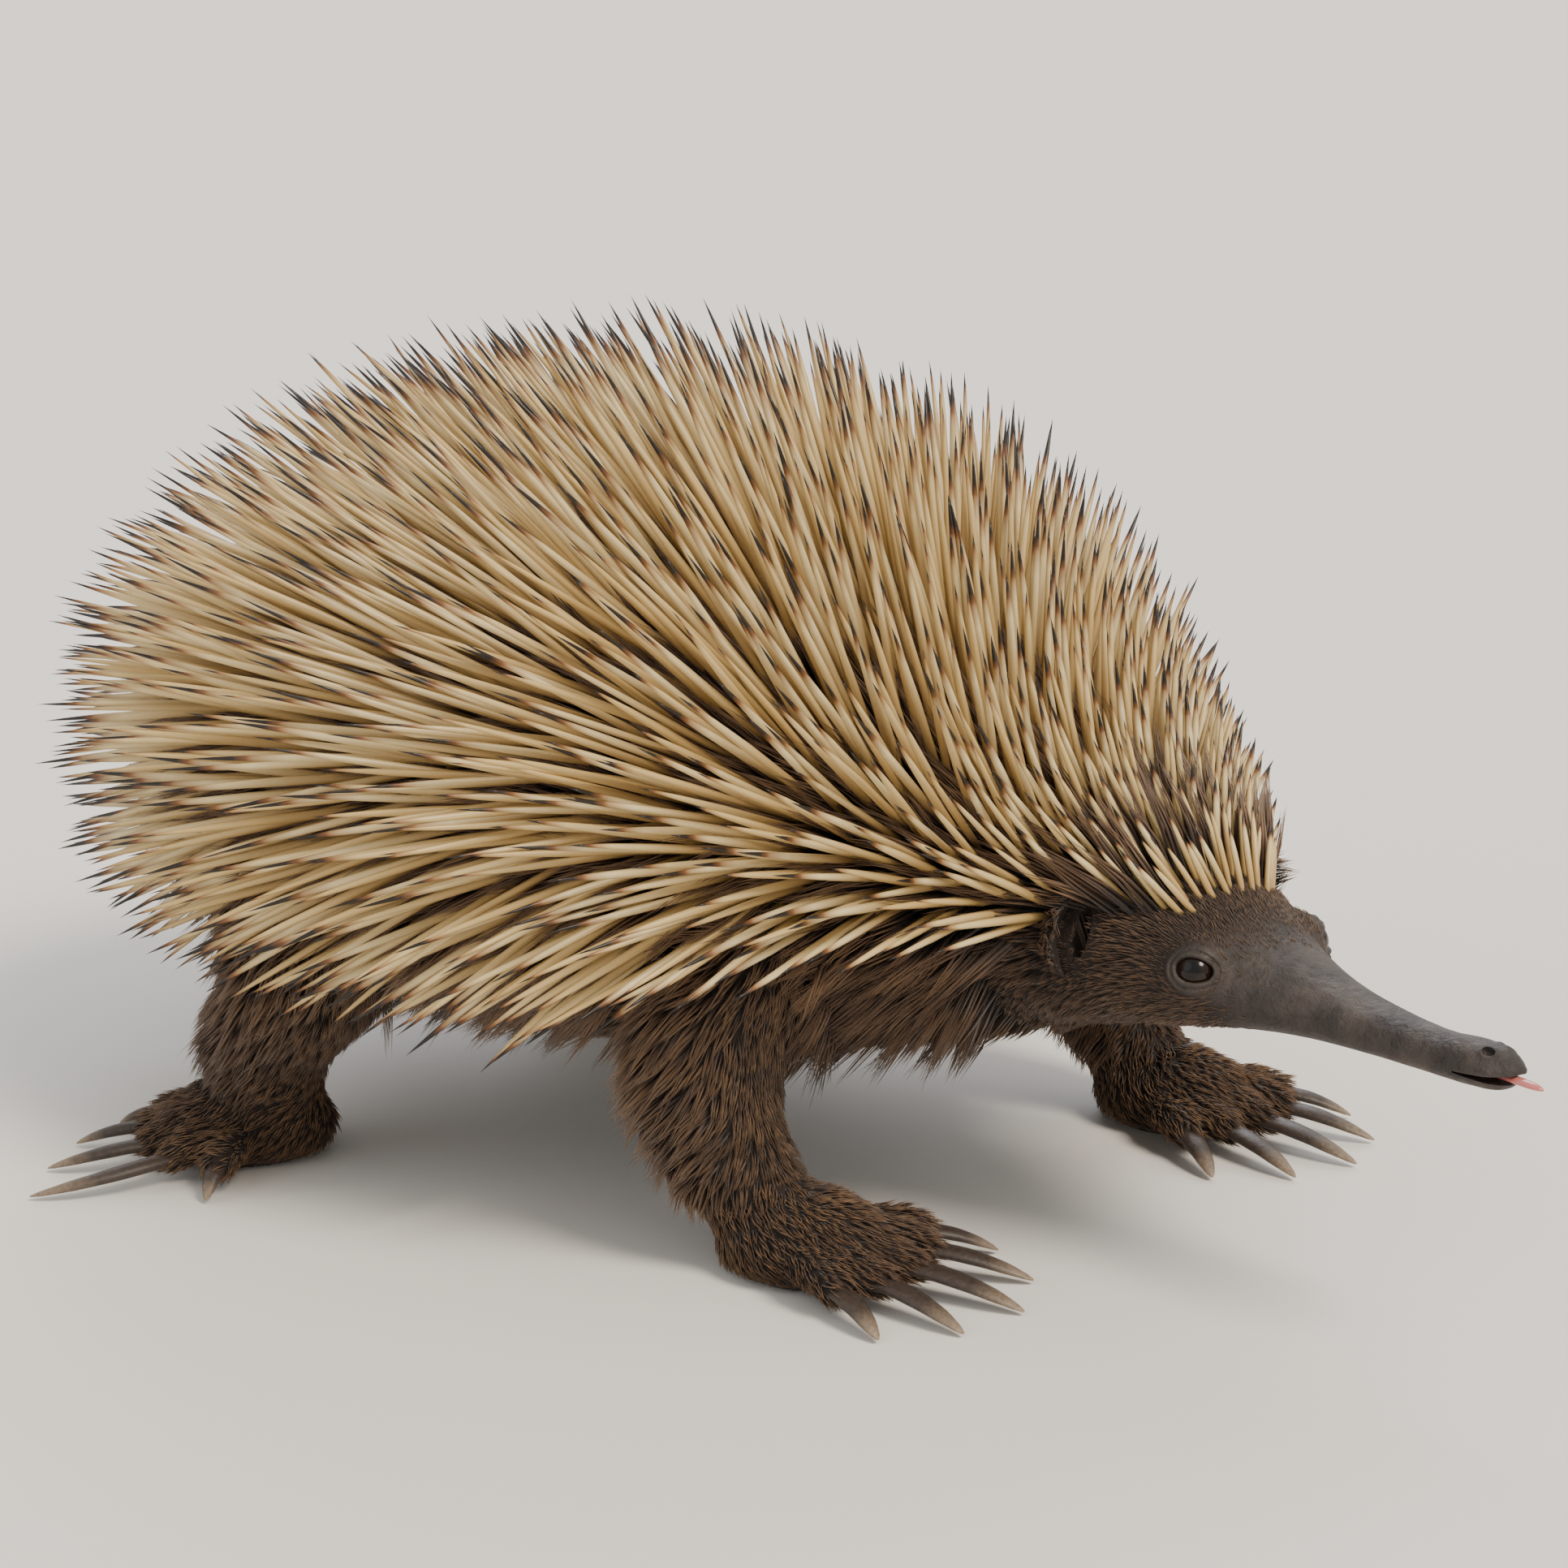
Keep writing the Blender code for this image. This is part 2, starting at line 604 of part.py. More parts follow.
def field(name, s):
    """A spine's length, spacing or lift at a distance along the backbone."""
    column = ("length", "spacing", "lift").index(name) + 1
    return np.interp(s / MM, SPINE_FIELDS[:, 0], SPINE_FIELDS[:, column])


def spine_at(s, angle, rng):
    """One spine for a place on the back, leaning as its neighbours do but for a little chance."""
    point, out, back, down = frame_at(s, angle)
    height = math.sin(angle)
    flank = 1 - smooth_step(0.0, 0.85, height)
    edge = 1 - smooth_step(-0.45, 0.0, height)
    share = 1 + (FLANK_SPINE["length"] - 1) * flank + (EDGE_SPINE["length"] - FLANK_SPINE["length"]) * edge
    ease = 1 + (FLANK_SPINE["lift"] - 1) * flank + (EDGE_SPINE["lift"] - FLANK_SPINE["lift"]) * edge
    length = field("length", s) * MM * share * (1 + SPINE["varied"] * rng.uniform(-1, 1))
    lift = math.radians(field("lift", s) * ease + SPINE["lift_varied"] * rng.uniform(-1, 1))
    splay = DOWNWARD_SPLAY * (0.75 * flank + 0.25 * edge)
    splay += math.radians(SPINE["splay_varied"] * rng.uniform(-1, 1))
    along = back * math.cos(splay) + down * math.sin(splay)
    way = (along * math.cos(lift) + out * math.sin(lift)).normalized()
    thick = 0.72 + 0.28 * min(1, length / (42 * MM))
    sunk = min(SPINE["sunk"], 0.4 * length)
    return spine_mesh(point - way * sunk, way, length + sunk, thick)


def add_shapes(target, shapes, others):
    """Fuses into the target each spine or lock that stays clear of every other piece."""
    trees = [tree_of(other) for other in others if other is not target]
    kept = [shape for shape in shapes if is_clear(shape, trees)]
    combine(target, [grown_object("grown", shape) for shape in kept], "UNION")


def back_spines(lows, rng, tries):
    return uncrossed([spine_at(s, angle, rng) for s, angle in scatter(lows, rng, tries)])


def fringe(rng):
    """Locks under the lowest spines from armpit to rump, and over the shoulder and the side of the neck."""
    shapes = []
    for s, height in FRINGE + SHOULDER:
        for angle in (math.asin(height), math.pi - math.asin(height)):
            point, out, back, down = frame_at((s + rng.uniform(-3, 3)) * MM, angle + rng.uniform(-0.1, 0.1))
            way = (back + down * rng.uniform(0.35, 0.75)).normalized()
            shapes.append(lock_mesh(point, out, way, FRINGE_LOCK))
    return shapes


def cheeks(rng):
    """Short locks behind the eyes and along the jaw, up to the neck."""
    shapes = []
    for s, height in CHEEK:
        for angle in (math.asin(height), math.pi - math.asin(height)):
            point, out, back, down = frame_at(s * MM, angle + rng.uniform(-0.06, 0.06))
            way = (back + down * rng.uniform(0.1, 0.4)).normalized()
            size = 1 - 0.35 * smooth_step(130, 160, s)
            shapes.append(lock_mesh(point, out, way, (*(v * size for v in CHEEK_LOCK[:3]), *CHEEK_LOCK[3:])))
    return shapes


def row_at(rows, share):
    """The numbers of a table at a share of its length."""
    return [np.interp(share * (len(rows) - 1), np.arange(len(rows)), column) for column in np.transpose(rows)]


def leg_locks(solid, rows, rng):
    """Locks down a leg's outer side and back, pointing down and back."""
    side = 1 if rows[0][1] > 0 else -1
    tree = tree_of(solid)
    shapes = []
    for i, share in enumerate(LEG_LOCK_ROWS):
        x, y, z, radius = row_at(rows, share)
        for turn in LEG_LOCK_TURNS[(i + 1) % 2]:
            heading = math.radians(turn) * side
            look = Vector((math.cos(heading), math.sin(heading), 0))
            found, normal, *_ = tree.ray_cast(Vector((x, y, z)) + look * (radius + 20 * MM), -look)
            if found is None:
                continue
            way = Vector((-0.55 + rng.uniform(-0.15, 0.15), rng.uniform(-0.15, 0.15), -1))
            way = (way - normal * way.dot(normal)).normalized()
            shapes.append(lock_mesh(found, normal, way, LEG_LOCK))
    return shapes


def tail_spines(solid, rng):
    """Spines over the top and sides of the tail, pointing back past its end."""
    tree = tree_of(solid)
    shapes = []
    for share in TAIL_SPINE_ROWS:
        x, z, radius = row_at(np.array(TAIL) * MM, share)
        for turn in TAIL_SPINE_TURNS + rng.uniform(-12, 12):
            look = Vector((-0.35, math.cos(math.radians(turn)), math.sin(math.radians(turn)))).normalized()
            found, normal, *_ = tree.ray_cast(Vector((x, 0, z)) + look * (radius + 30 * MM), -look)
            if found is None:
                continue
            lift = math.radians(TAIL_SPINE["lift"] + TAIL_SPINE["lift_varied"] * rng.uniform(-1, 1))
            along = Vector((-1, 0, -0.12))
            along = (along - normal * along.dot(normal)).normalized()
            way = along * math.cos(lift) + normal * math.sin(lift)
            sunk = TAIL_SPINE["sunk"] * MM
            length = (TAIL_SPINE["length"] + TAIL_SPINE["varied"] * rng.uniform(-1, 1)) * MM
            shapes.append(spine_mesh(found - way * sunk, way, length + sunk, TAIL_SPINE["thick"]))
    return shapes


def eye_place(side):
    """The centre of an eye and the way it looks. side is 1 for the left."""
    angle = EYE["angle"] if side > 0 else math.pi - EYE["angle"]
    out = normal_at(EYE["s"], angle)
    return Vector(core_at(EYE["s"], angle) - out * EYE["sunk"]), Vector(out)


def lid(side):
    """The rim of both lids, as a ring round the eye that is wider than it is high."""
    centre, out = eye_place(side)
    facing = out.to_track_quat("Z", "Y").to_matrix().to_4x4()
    at = centre + out * (EYE["sunk"] - 0.3 * MM)
    bpy.ops.mesh.primitive_torus_add(
        major_segments=14, minor_segments=5, major_radius=LID["radius"], minor_radius=LID["thick"]
    )
    made = bpy.context.object
    made.data.transform(Matrix.Translation(at) @ facing @ Matrix.Diagonal((1, LID["squash"], 1, 1)))
    return made


def ear_frame(side):
    """Where an ear stands: its middle on the head, the way out, the way forwards and the way up the head."""
    angle = EAR["angle"] if side > 0 else math.pi - EAR["angle"]
    out = Vector(normal_at(EAR["s"], angle))
    middle = Vector(core_at(EAR["s"], angle))
    ahead = Vector(core_at(EAR["s"] + MM, angle)) - middle
    ahead = (ahead - out * ahead.dot(out)).normalized()
    up = out.cross(ahead) * side
    return middle, out, ahead, -up if up.z < 0 else up


def ear(side, head):
    """The upright fold behind the ear's opening, curled forwards over it."""
    middle, out, ahead, up = ear_frame(side)
    rings = []
    for share in np.linspace(-1, 1, 9):
        bow = math.sqrt(max(1 - share**2, 0.05))
        base = middle + up * (share * EAR["height"] / 2) - ahead * (1.5 * MM + 3.5 * MM * bow)
        root = base - out * (3 * MM)
        tip = base + out * (EAR["proud"] * bow) + ahead * (2.2 * MM * bow)
        half = ahead * (EAR["thick"] / 2)
        rings.append([root - half, tip - half * 0.6, tip + half * 0.6, root + half])
    made = loft("ear_left" if side > 0 else "ear_right", rings)
    cut_clear(made, head)
    return made


def ear_hollow(side):
    middle, out, ahead, up = ear_frame(side)
    axes = Matrix((ahead, up, out)).transposed().to_4x4()
    made = ball("hollow", (0, 0, 0), EAR_HOLLOW, segments=10, rings=7)
    made.data.transform(Matrix.Translation(middle + ahead * (0.4 * MM)) @ axes)
    return made


def head():
    made = body_part("head", HEAD_RINGS, BODY_SIDES, (GAP / 2, GAP / 2))
    combine(made, [lid(1), lid(-1)], "UNION")
    cutters = [ball("socket", eye_place(side)[0], [EYE["radius"] + GAP] * 3, 0, 12, 8) for side in (1, -1)]
    combine(made, cutters + [ear_hollow(1), ear_hollow(-1)], "DIFFERENCE")
    return made


def lip(height, end):
    """A fine bead along one edge of the mouth, round the end of the beak."""
    stations = np.linspace(MOUTH["from"], end - 1.2 * MM, 4)
    sides = [half_width_at(s, height) for s in stations]
    stations = [*stations, end, *stations[::-1]]
    sides = [*sides, 0, *(-side for side in sides[::-1])]
    path = [beside_backbone(s, side, height) for s, side in zip(stations, sides)]
    return loft("lip", ellipse_rings(path, [(LIP_RADIUS, LIP_RADIUS)] * len(path), 0, 6))


def snout():
    """The bare beak, with the slit of the mouth between its lips and two nostrils above."""
    made = body_part("snout", SNOUT_RINGS, SNOUT_SIDES, (GAP / 2, 0))
    combine(made, [lip(*line) for line in LIPS], "UNION")
    length = MOUTH["to"] - MOUTH["from"]
    middle = beside_backbone(MOUTH["from"] + length / 2, 0, MOUTH["height"])
    place = Matrix.Translation(middle) @ Matrix.Rotation(-HEAD_TURN, 4, "Z")
    slit = add_object("slit", bpy.data.meshes.new("slit"))
    mesh = bmesh.new()
    size = Matrix.Diagonal((length, 24 * MM, MOUTH["gape"], 1))
    bmesh.ops.create_cube(mesh, size=1, matrix=place @ size)
    mesh.to_mesh(slit.data)
    mesh.free()
    halves = (NOSTRIL["radius"] * 1.4, NOSTRIL["radius"], NOSTRIL["radius"])
    holes = []
    for side in (1, -1):
        centre = beside_backbone(NOSTRIL["s"], side * NOSTRIL["side"], NOSTRIL["height"])
        holes.append(ball("nostril", centre, halves, -HEAD_TURN, 8, 6))
    combine(made, [slit] + holes, "DIFFERENCE")
    return made


def tongue():
    """The end of the tongue, lying in the mouth and out past the beak."""
    s = np.linspace(TONGUE["from"], TONGUE["to"], 5)
    path = [beside_backbone(v, 0, MOUTH["height"]) for v in s]
    taper = (1, 1, 0.95, 0.85, 0.5)
    halves = [(TONGUE["wide"] / 2 * t, TONGUE["thick"] / 2 * t) for t in taper]
    return loft("tongue", ellipse_rings(path, halves, 0, 8))


def eye(side):
    return ball("eye_left" if side > 0 else "eye_right", eye_place(side)[0], [EYE["radius"]] * 3, 0, 12, 8)


def finish(made, look):
    """Gives a solid its colour and smooth shading."""
    colour, rough = COLOURS[look]
    material = bpy.data.materials.get(look) or bpy.data.materials.new(look)
    material.use_nodes = True
    shader = material.node_tree.nodes["Principled BSDF"]
    shader.inputs["Base Color"].default_value = (*colour, 1)
    shader.inputs["Roughness"].default_value = rough
    shader.inputs["Metallic"].default_value = 0
    made.data.materials.clear()
    made.data.materials.append(material)
    made.data.shade_smooth()
    made.data.set_sharp_from_angle(angle=math.radians(50))


def stand_on_origin(solids):
    """Moves the whole animal so that the middle of its box is over the origin."""
    points = np.concatenate([[v.co for v in made.data.vertices] for made in solids])
    low, high = points.min(axis=0), points.max(axis=0)
    whole = bpy.data.objects.new("echidna", None)
    SOLIDS.objects.link(whole)
    whole.location = (-(low[0] + high[0]) / 2, -(low[1] + high[1]) / 2, -low[2])
    for made in solids:
        made.parent = whole


def limbs():
    """The four feet with their claws, and the legs down to them."""
    feet, horn, upper = [], [], []
    for word, side in (("left", 1), ("right", -1)):
        for end, points, plan, toes in (
            ("front", FRONT_LEG, FRONT_PAW, FRONT_TOES),
            ("hind", HIND_LEG, HIND_FOOT, HIND_TOES),
        ):
            shift = stride_of(side, end == "front")
            paw = foot(f"{end}_foot_{word}", plan, toes, side, shift)
            nails = claws(f"{end}_claw_{word}", plan, toes, side, shift)
            cut_clear(paw, *nails, room=CLAW_ROOM)
            feet.append(paw)
            horn += nails
            upper.append(leg(f"{end}_leg_{word}", points, side, shift, paw))
    return feet, horn, upper


def build():
    rng = np.random.RandomState(SEED)
    torso = body_part("torso", TORSO_RINGS, BODY_SIDES, (0, GAP / 2))
    skull = head()
    stub = tail()
    eyes = [eye(1), eye(-1)]
    ears = [ear(1, skull), ear(-1, skull)]
    beak = snout()
    feet, horn, upper = limbs()
    # Locks and spines go on one node after another, each kept clear of all that is there already.
    others = [torso, skull, stub, beak, *eyes, *ears, *feet, *horn, *(made for made, _ in upper)]
    for made, rows in upper:
        add_shapes(made, leg_locks(made, rows, rng), others)
    add_shapes(skull, back_spines(CROWN_LOW, rng, CROWN_TRIES) + cheeks(rng), others)
    add_shapes(stub, uncrossed(tail_spines(stub, rng)), others)
    add_shapes(torso, back_spines(BACK_LOW, rng, BACK_TRIES) + fringe(rng), others)
    looks = {
        "coat": [torso, skull, stub, *ears, *feet, *(made for made, _ in upper)],
        "claw": horn,
        "beak": [beak],
        "eye": eyes,
        "tongue": [tongue()],
    }
    for look, solids in looks.items():
        for made in solids:
            finish(made, look)
    stand_on_origin([made for solids in looks.values() for made in solids])


for leftover in list(bpy.data.objects):
    bpy.data.objects.remove(leftover)
SOLIDS = bpy.data.collections.new("echidna")
bpy.context.scene.collection.children.link(SOLIDS)
build()
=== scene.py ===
# A short-beaked echidna at life size: one skin, spines, fur, eyes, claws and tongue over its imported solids.
# Metres. +X points out of the snout, +Y to the animal's left and +Z up.

import math

import bmesh
import bpy
import numpy as np
from mathutils import Matrix, Vector, noise
from mathutils.kdtree import KDTree


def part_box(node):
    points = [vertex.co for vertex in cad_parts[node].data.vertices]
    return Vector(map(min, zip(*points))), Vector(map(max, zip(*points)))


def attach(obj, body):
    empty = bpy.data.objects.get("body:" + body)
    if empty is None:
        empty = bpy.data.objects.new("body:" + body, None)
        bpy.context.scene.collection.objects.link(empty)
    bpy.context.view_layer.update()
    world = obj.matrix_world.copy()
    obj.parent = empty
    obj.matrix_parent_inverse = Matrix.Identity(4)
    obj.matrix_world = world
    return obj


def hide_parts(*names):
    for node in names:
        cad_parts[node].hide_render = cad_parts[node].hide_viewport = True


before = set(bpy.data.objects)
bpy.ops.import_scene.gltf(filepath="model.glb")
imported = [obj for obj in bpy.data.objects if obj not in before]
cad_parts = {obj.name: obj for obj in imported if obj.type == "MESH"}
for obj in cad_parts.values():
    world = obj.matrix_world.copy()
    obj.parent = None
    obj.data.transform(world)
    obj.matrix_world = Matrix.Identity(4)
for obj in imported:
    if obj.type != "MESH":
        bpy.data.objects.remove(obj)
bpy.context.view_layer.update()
mm = 0.001
rng = np.random.RandomState(11)


# Materials

def linear(text):  # sRGB hex to the linear colour that shaders take
    parts = [int(text[i:i + 2], 16) / 255 for i in (1, 3, 5)]
    return (*(p / 12.92 if p <= 0.04045 else ((p + 0.055) / 1.055) ** 2.4 for p in parts), 1)


def addNode(tree, kind, inputs=None, stops=(), **settings):  # inputs are values or the sockets they come from
    node = tree.nodes.new(kind)
    for key, value in settings.items():
        setattr(node, key, value)
    for key, value in (inputs or {}).items():
        if isinstance(value, bpy.types.NodeSocket):
            tree.links.new(value, node.inputs[key])
        else:
            node.inputs[key].default_value = value
    for i, (place, colour) in enumerate(stops):
        stop = node.color_ramp.elements[i] if i < 2 else node.color_ramp.elements.new(place)
        stop.position, stop.color = place, linear(colour)
    return node


def newMaterial(name, roughness, ior=1.5, **constants):
    made = bpy.data.materials.new(name)
    made.use_nodes = True
    shader = made.node_tree.nodes["Principled BSDF"]
    shader.inputs["Roughness"].default_value = roughness
    shader.inputs["IOR"].default_value = ior
    for key, value in constants.items():
        shader.inputs[key.replace("_", " ")].default_value = value
    return made, made.node_tree, shader


def connect(tree, shader, **sockets):
    for key, socket in sockets.items():
        tree.links.new(socket, shader.inputs[key.replace("_", " ")])


# What the photo and the species show: cream quills with dark tips out of coarse brown fur, a dark bare beak

coatColours = dict(furRoot="#1D130D", furMiddle="#3B281B", furTip="#7A5A3C", furTipPale="#A07F58",
                   quillRoot="#B99A62", quill="#E4D2A4", quillWarm="#CDAF74", quillBand="#8A5A30",
                   quillTip="#1C130E")
bareColours = dict(hide="#231811", beak="#2A2422", beakWorn="#4A403A", claw="#3A302A", clawTip="#8C7A66",
                   eye="#040302", iris="#1C0F08", tongue="#C4716A", tongueDeep="#8E3F3C", floor="#E9E6E1")


def paperFloor():
    made, tree, shader = newMaterial("matt studio paper", 0.9)  # pale and even, so that the shadow reads
    shader.inputs["Base Color"].default_value = linear(bareColours["floor"])
    return made


def coarseFur():  # dark at the root, sun-bleached at the tip, and different from tuft to tuft
    made, tree, shader = newMaterial("coarse brown guard hair", 0.62, Sheen_Weight=0.12)
    along = addNode(tree, "ShaderNodeAttribute", attribute_name="along").outputs["Fac"]
    tint = addNode(tree, "ShaderNodeAttribute", attribute_name="tint").outputs["Fac"]
    stops = [(0, coatColours["furRoot"]), (0.45, coatColours["furMiddle"]), (1, coatColours["furTip"])]
    shade = addNode(tree, "ShaderNodeValToRGB", {"Fac": along}, stops)
    pale = [(0, coatColours["furRoot"]), (0.5, coatColours["furTip"]), (1, coatColours["furTipPale"])]
    light = addNode(tree, "ShaderNodeValToRGB", {"Fac": along}, pale)
    share = addNode(tree, "ShaderNodeMapRange", {"Value": tint, "From Min": 0.35, "From Max": 1.0,
                                                 "To Max": 0.75})
    mixed = addNode(tree, "ShaderNodeMix", {"Factor": share.outputs["Result"], "A": shade.outputs["Color"],
                                            "B": light.outputs["Color"]}, data_type="RGBA")
    connect(tree, shader, Base_Color=mixed.outputs["Result"])
    return made


def hornQuill():  # smooth keratin: a low gloss along the shaft, the last fifth or so nearly black
    made, tree, shader = newMaterial("smooth keratin quill", 0.32)
    along = addNode(tree, "ShaderNodeAttribute", attribute_name="along").outputs["Fac"]
    tint = addNode(tree, "ShaderNodeAttribute", attribute_name="tint").outputs["Fac"]
    shaft = addNode(tree, "ShaderNodeMix", {"Factor": tint, "A": linear(coatColours["quill"]),
                                            "B": linear(coatColours["quillWarm"])}, data_type="RGBA")
    rooted = addNode(tree, "ShaderNodeMapRange", {"Value": along, "From Min": 0.2, "From Max": 0.5})
    lower = addNode(tree, "ShaderNodeMix", {"Factor": rooted.outputs["Result"],
                                            "A": linear(coatColours["quillRoot"]),
                                            "B": shaft.outputs["Result"]}, data_type="RGBA")
    edge = addNode(tree, "ShaderNodeMapRange", {"Value": tint, "To Min": 0.62, "To Max": 0.86})
    past = addNode(tree, "ShaderNodeMath", {0: along, 1: edge.outputs["Result"]}, operation="SUBTRACT")
    band = addNode(tree, "ShaderNodeMapRange", {"Value": past.outputs["Value"], "From Min": -0.14,
                                                "From Max": 0.0})
    brown = addNode(tree, "ShaderNodeMix", {"Factor": band.outputs["Result"], "A": lower.outputs["Result"],
                                            "B": linear(coatColours["quillBand"])}, data_type="RGBA")
    dark = addNode(tree, "ShaderNodeMapRange", {"Value": past.outputs["Value"], "From Min": -0.03,
                                                "From Max": 0.06})
    both = addNode(tree, "ShaderNodeMix", {"Factor": dark.outputs["Result"], "A": brown.outputs["Result"],
                                           "B": linear(coatColours["quillTip"])}, data_type="RGBA")
    connect(tree, shader, Base_Color=both.outputs["Result"])
    return made


def hideAndBeak():  # dark hide under the fur, and a leathery beak with a fine grain of scales and creases
    made, tree, shader = newMaterial("leathery bare beak and dark hide", 0.5)
    place = addNode(tree, "ShaderNodeTexCoord").outputs["Object"]
    bare = addNode(tree, "ShaderNodeAttribute", attribute_name="bare").outputs["Fac"]
    patches = addNode(tree, "ShaderNodeTexNoise", {"Vector": place, "Scale": 1 / (9 * mm), "Detail": 4.0})
    scales = addNode(tree, "ShaderNodeTexVoronoi", {"Vector": place, "Scale": 1 / (0.9 * mm)},
                     feature="DISTANCE_TO_EDGE")
    stops = [(0.35, bareColours["beak"]), (0.75, bareColours["beakWorn"])]
    beak = addNode(tree, "ShaderNodeValToRGB", {"Fac": patches.outputs["Fac"]}, stops)
    mixed = addNode(tree, "ShaderNodeMix", {"Factor": bare, "A": linear(bareColours["hide"]),
                                            "B": beak.outputs["Color"]}, data_type="RGBA")
    gloss = addNode(tree, "ShaderNodeMapRange", {"Value": bare, "To Min": 0.85, "To Max": 0.55})
    creases = addNode(tree, "ShaderNodeTexNoise", {"Vector": place, "Scale": 1 / (3.2 * mm), "Detail": 6.0,
                                                   "Roughness": 0.62, "Distortion": 0.6})
    grain = addNode(tree, "ShaderNodeBump", {"Height": scales.outputs["Distance"], "Strength": 0.5,
                                             "Distance": 0.25 * mm})
    bump = addNode(tree, "ShaderNodeBump", {"Height": creases.outputs["Fac"], "Strength": 0.8,
                                            "Distance": 1.5 * mm,
                                            "Normal": grain.outputs["Normal"]})
    connect(tree, shader, Base_Color=mixed.outputs["Result"], Roughness=gloss.outputs["Result"],
            Normal=bump.outputs["Normal"])
    return made


def wetEye():  # nearly black with a brown ring, under a clear wet coat
    made, tree, shader = newMaterial("wet dark eye", 0.3, Specular_IOR_Level=0.1,
                                     Coat_Weight=0.5, Coat_Roughness=0.02)
    look = addNode(tree, "ShaderNodeAttribute", attribute_name="look").outputs["Fac"]
    stops = [(0, bareColours["iris"]), (1, bareColours["eye"])]
    share = addNode(tree, "ShaderNodeMapRange", {"Value": look, "From Min": 3.9, "From Max": 4.2})
    ring = addNode(tree, "ShaderNodeValToRGB", {"Fac": share.outputs["Result"]}, stops)
    connect(tree, shader, Base_Color=ring.outputs["Color"])
    return made


def hornClaw():  # dark worn horn, paler where it thins at the tip
    made, tree, shader = newMaterial("worn dark horn", 0.5)
    along = addNode(tree, "ShaderNodeAttribute", attribute_name="along").outputs["Fac"]
    place = addNode(tree, "ShaderNodeTexCoord").outputs["Object"]
    stops = [(0, bareColours["claw"]), (0.55, bareColours["claw"]), (1, bareColours["clawTip"])]
    shade = addNode(tree, "ShaderNodeValToRGB", {"Fac": along}, stops)
    grain = addNode(tree, "ShaderNodeTexNoise", {"Vector": place, "Scale": 1 / (1.2 * mm), "Detail": 5.0})
    worn = addNode(tree, "ShaderNodeMapRange", {"Value": grain.outputs["Fac"], "From Min": 0.3,
                                                "From Max": 0.7,
                                                "To Min": 0.75, "To Max": 1.3})
    mixed = addNode(tree, "ShaderNodeVectorMath", {0: shade.outputs["Color"], 1: worn.outputs["Result"]},
                    operation="MULTIPLY")
    bump = addNode(tree, "ShaderNodeBump", {"Height": grain.outputs["Fac"], "Strength": 0.5,
                                            "Distance": 0.3 * mm})
    connect(tree, shader, Base_Color=mixed.outputs["Vector"], Normal=bump.outputs["Normal"])
    return made


def moistTongue():  # pink, wet and a little see-through
    made, tree, shader = newMaterial("moist pink tongue", 0.25, Subsurface_Weight=0.15,
                                     Subsurface_Scale=0.6 * mm,
                                     Coat_Weight=0.5)
    along = addNode(tree, "ShaderNodeAttribute", attribute_name="along").outputs["Fac"]
    stops = [(0, bareColours["tongueDeep"]), (0.6, bareColours["tongue"])]
    shade = addNode(tree, "ShaderNodeValToRGB", {"Fac": along}, stops)
    connect(tree, shader, Base_Color=shade.outputs["Color"])
    return made


furMaterial, quillMaterial, skinMaterial = coarseFur(), hornQuill(), hideAndBeak()
eyeMaterial, clawMaterial, tongueMaterial, floorMaterial = wetEye(), hornClaw(), moistTongue(), paperFloor()


# Body form, with the same named sizes as the solids

neck = dict(start=92, end=150, turn=16)  # mm along the backbone, and degrees that the head turns to its right
section = dict(widest=0.45, backPower=1.0, bellyPower=0.82, coatFrom=-0.5, coatTo=0.05)
# Distance along the backbone, heights of back and belly, half width, depth of the coat on back and belly, in mm.
sections = np.array([
    (-149, 87, 74, 6, 11, 5),
    (-144, 104, 62, 27, 13, 5),
    (-130, 122, 51, 49, 14, 5),
    (-105, 139, 43, 70, 15, 5),
    (-65, 151, 38, 84, 16, 5),
    (-20, 156, 36, 89, 16, 5),
    (25, 151, 38, 85, 16, 5),
    (62, 138, 43, 73, 14, 5),
    (88, 124, 48, 58, 12, 5),
    (108, 113, 52.5, 45, 10, 4.5),
    (128, 105.5, 57, 35, 8, 4),
    (148, 99, 60, 28.5, 5, 3),
    (163, 93, 62, 23.5, 3, 2),
    (177, 86, 64, 17, 1, 0.8),
    (192, 80.5, 65.4, 12, 0, 0),
    (210, 77, 65.8, 8.8, 0, 0),
    (228, 75.6, 65.6, 7.2, 0, 0),
    (241, 76.2, 65.8, 6.8, 0, 0),
    (247, 75.2, 66.9, 5.2, 0, 0),
    (250, 73, 69, 2.4, 0, 0),
]) * mm


def smoothStep(low, high, value):
    share = np.clip((np.asarray(value, float) - low) / (high - low), 0, 1)
    return share * share * (3 - 2 * share)


def unit(vectors):
    return vectors / np.maximum(np.linalg.norm(vectors, axis=-1, keepdims=True), 1e-9)


def sectionAt(s):
    keys, rows = sections[:, 0], sections[:, 1:]
    slopes = np.gradient(rows, keys, axis=0)
    s = np.clip(np.asarray(s, float), keys[0], keys[-1])
    i = np.clip(np.searchsorted(keys, s, side="right") - 1, 0, len(keys) - 2)
    span = (keys[i + 1] - keys[i])[..., None]
    u = (s - keys[i])[..., None] / span
    start = (2 * u**3 - 3 * u**2 + 1) * rows[i] + (u**3 - 2 * u**2 + u) * span * slopes[i]
    middle = start + (3 * u**2 - 2 * u**3) * rows[i + 1]
    return np.moveaxis(middle + (u**3 - u**2) * span * slopes[i + 1], -1, 0)


backboneS = np.arange(-0.2, 0.3, mm)
backboneHeading = -math.radians(neck["turn"]) * smoothStep(neck["start"] * mm, neck["end"] * mm, backboneS)
backboneX = np.cumsum(np.cos(backboneHeading)) * mm + backboneS[0] - mm
backboneY = np.cumsum(np.sin(backboneHeading)) * mm


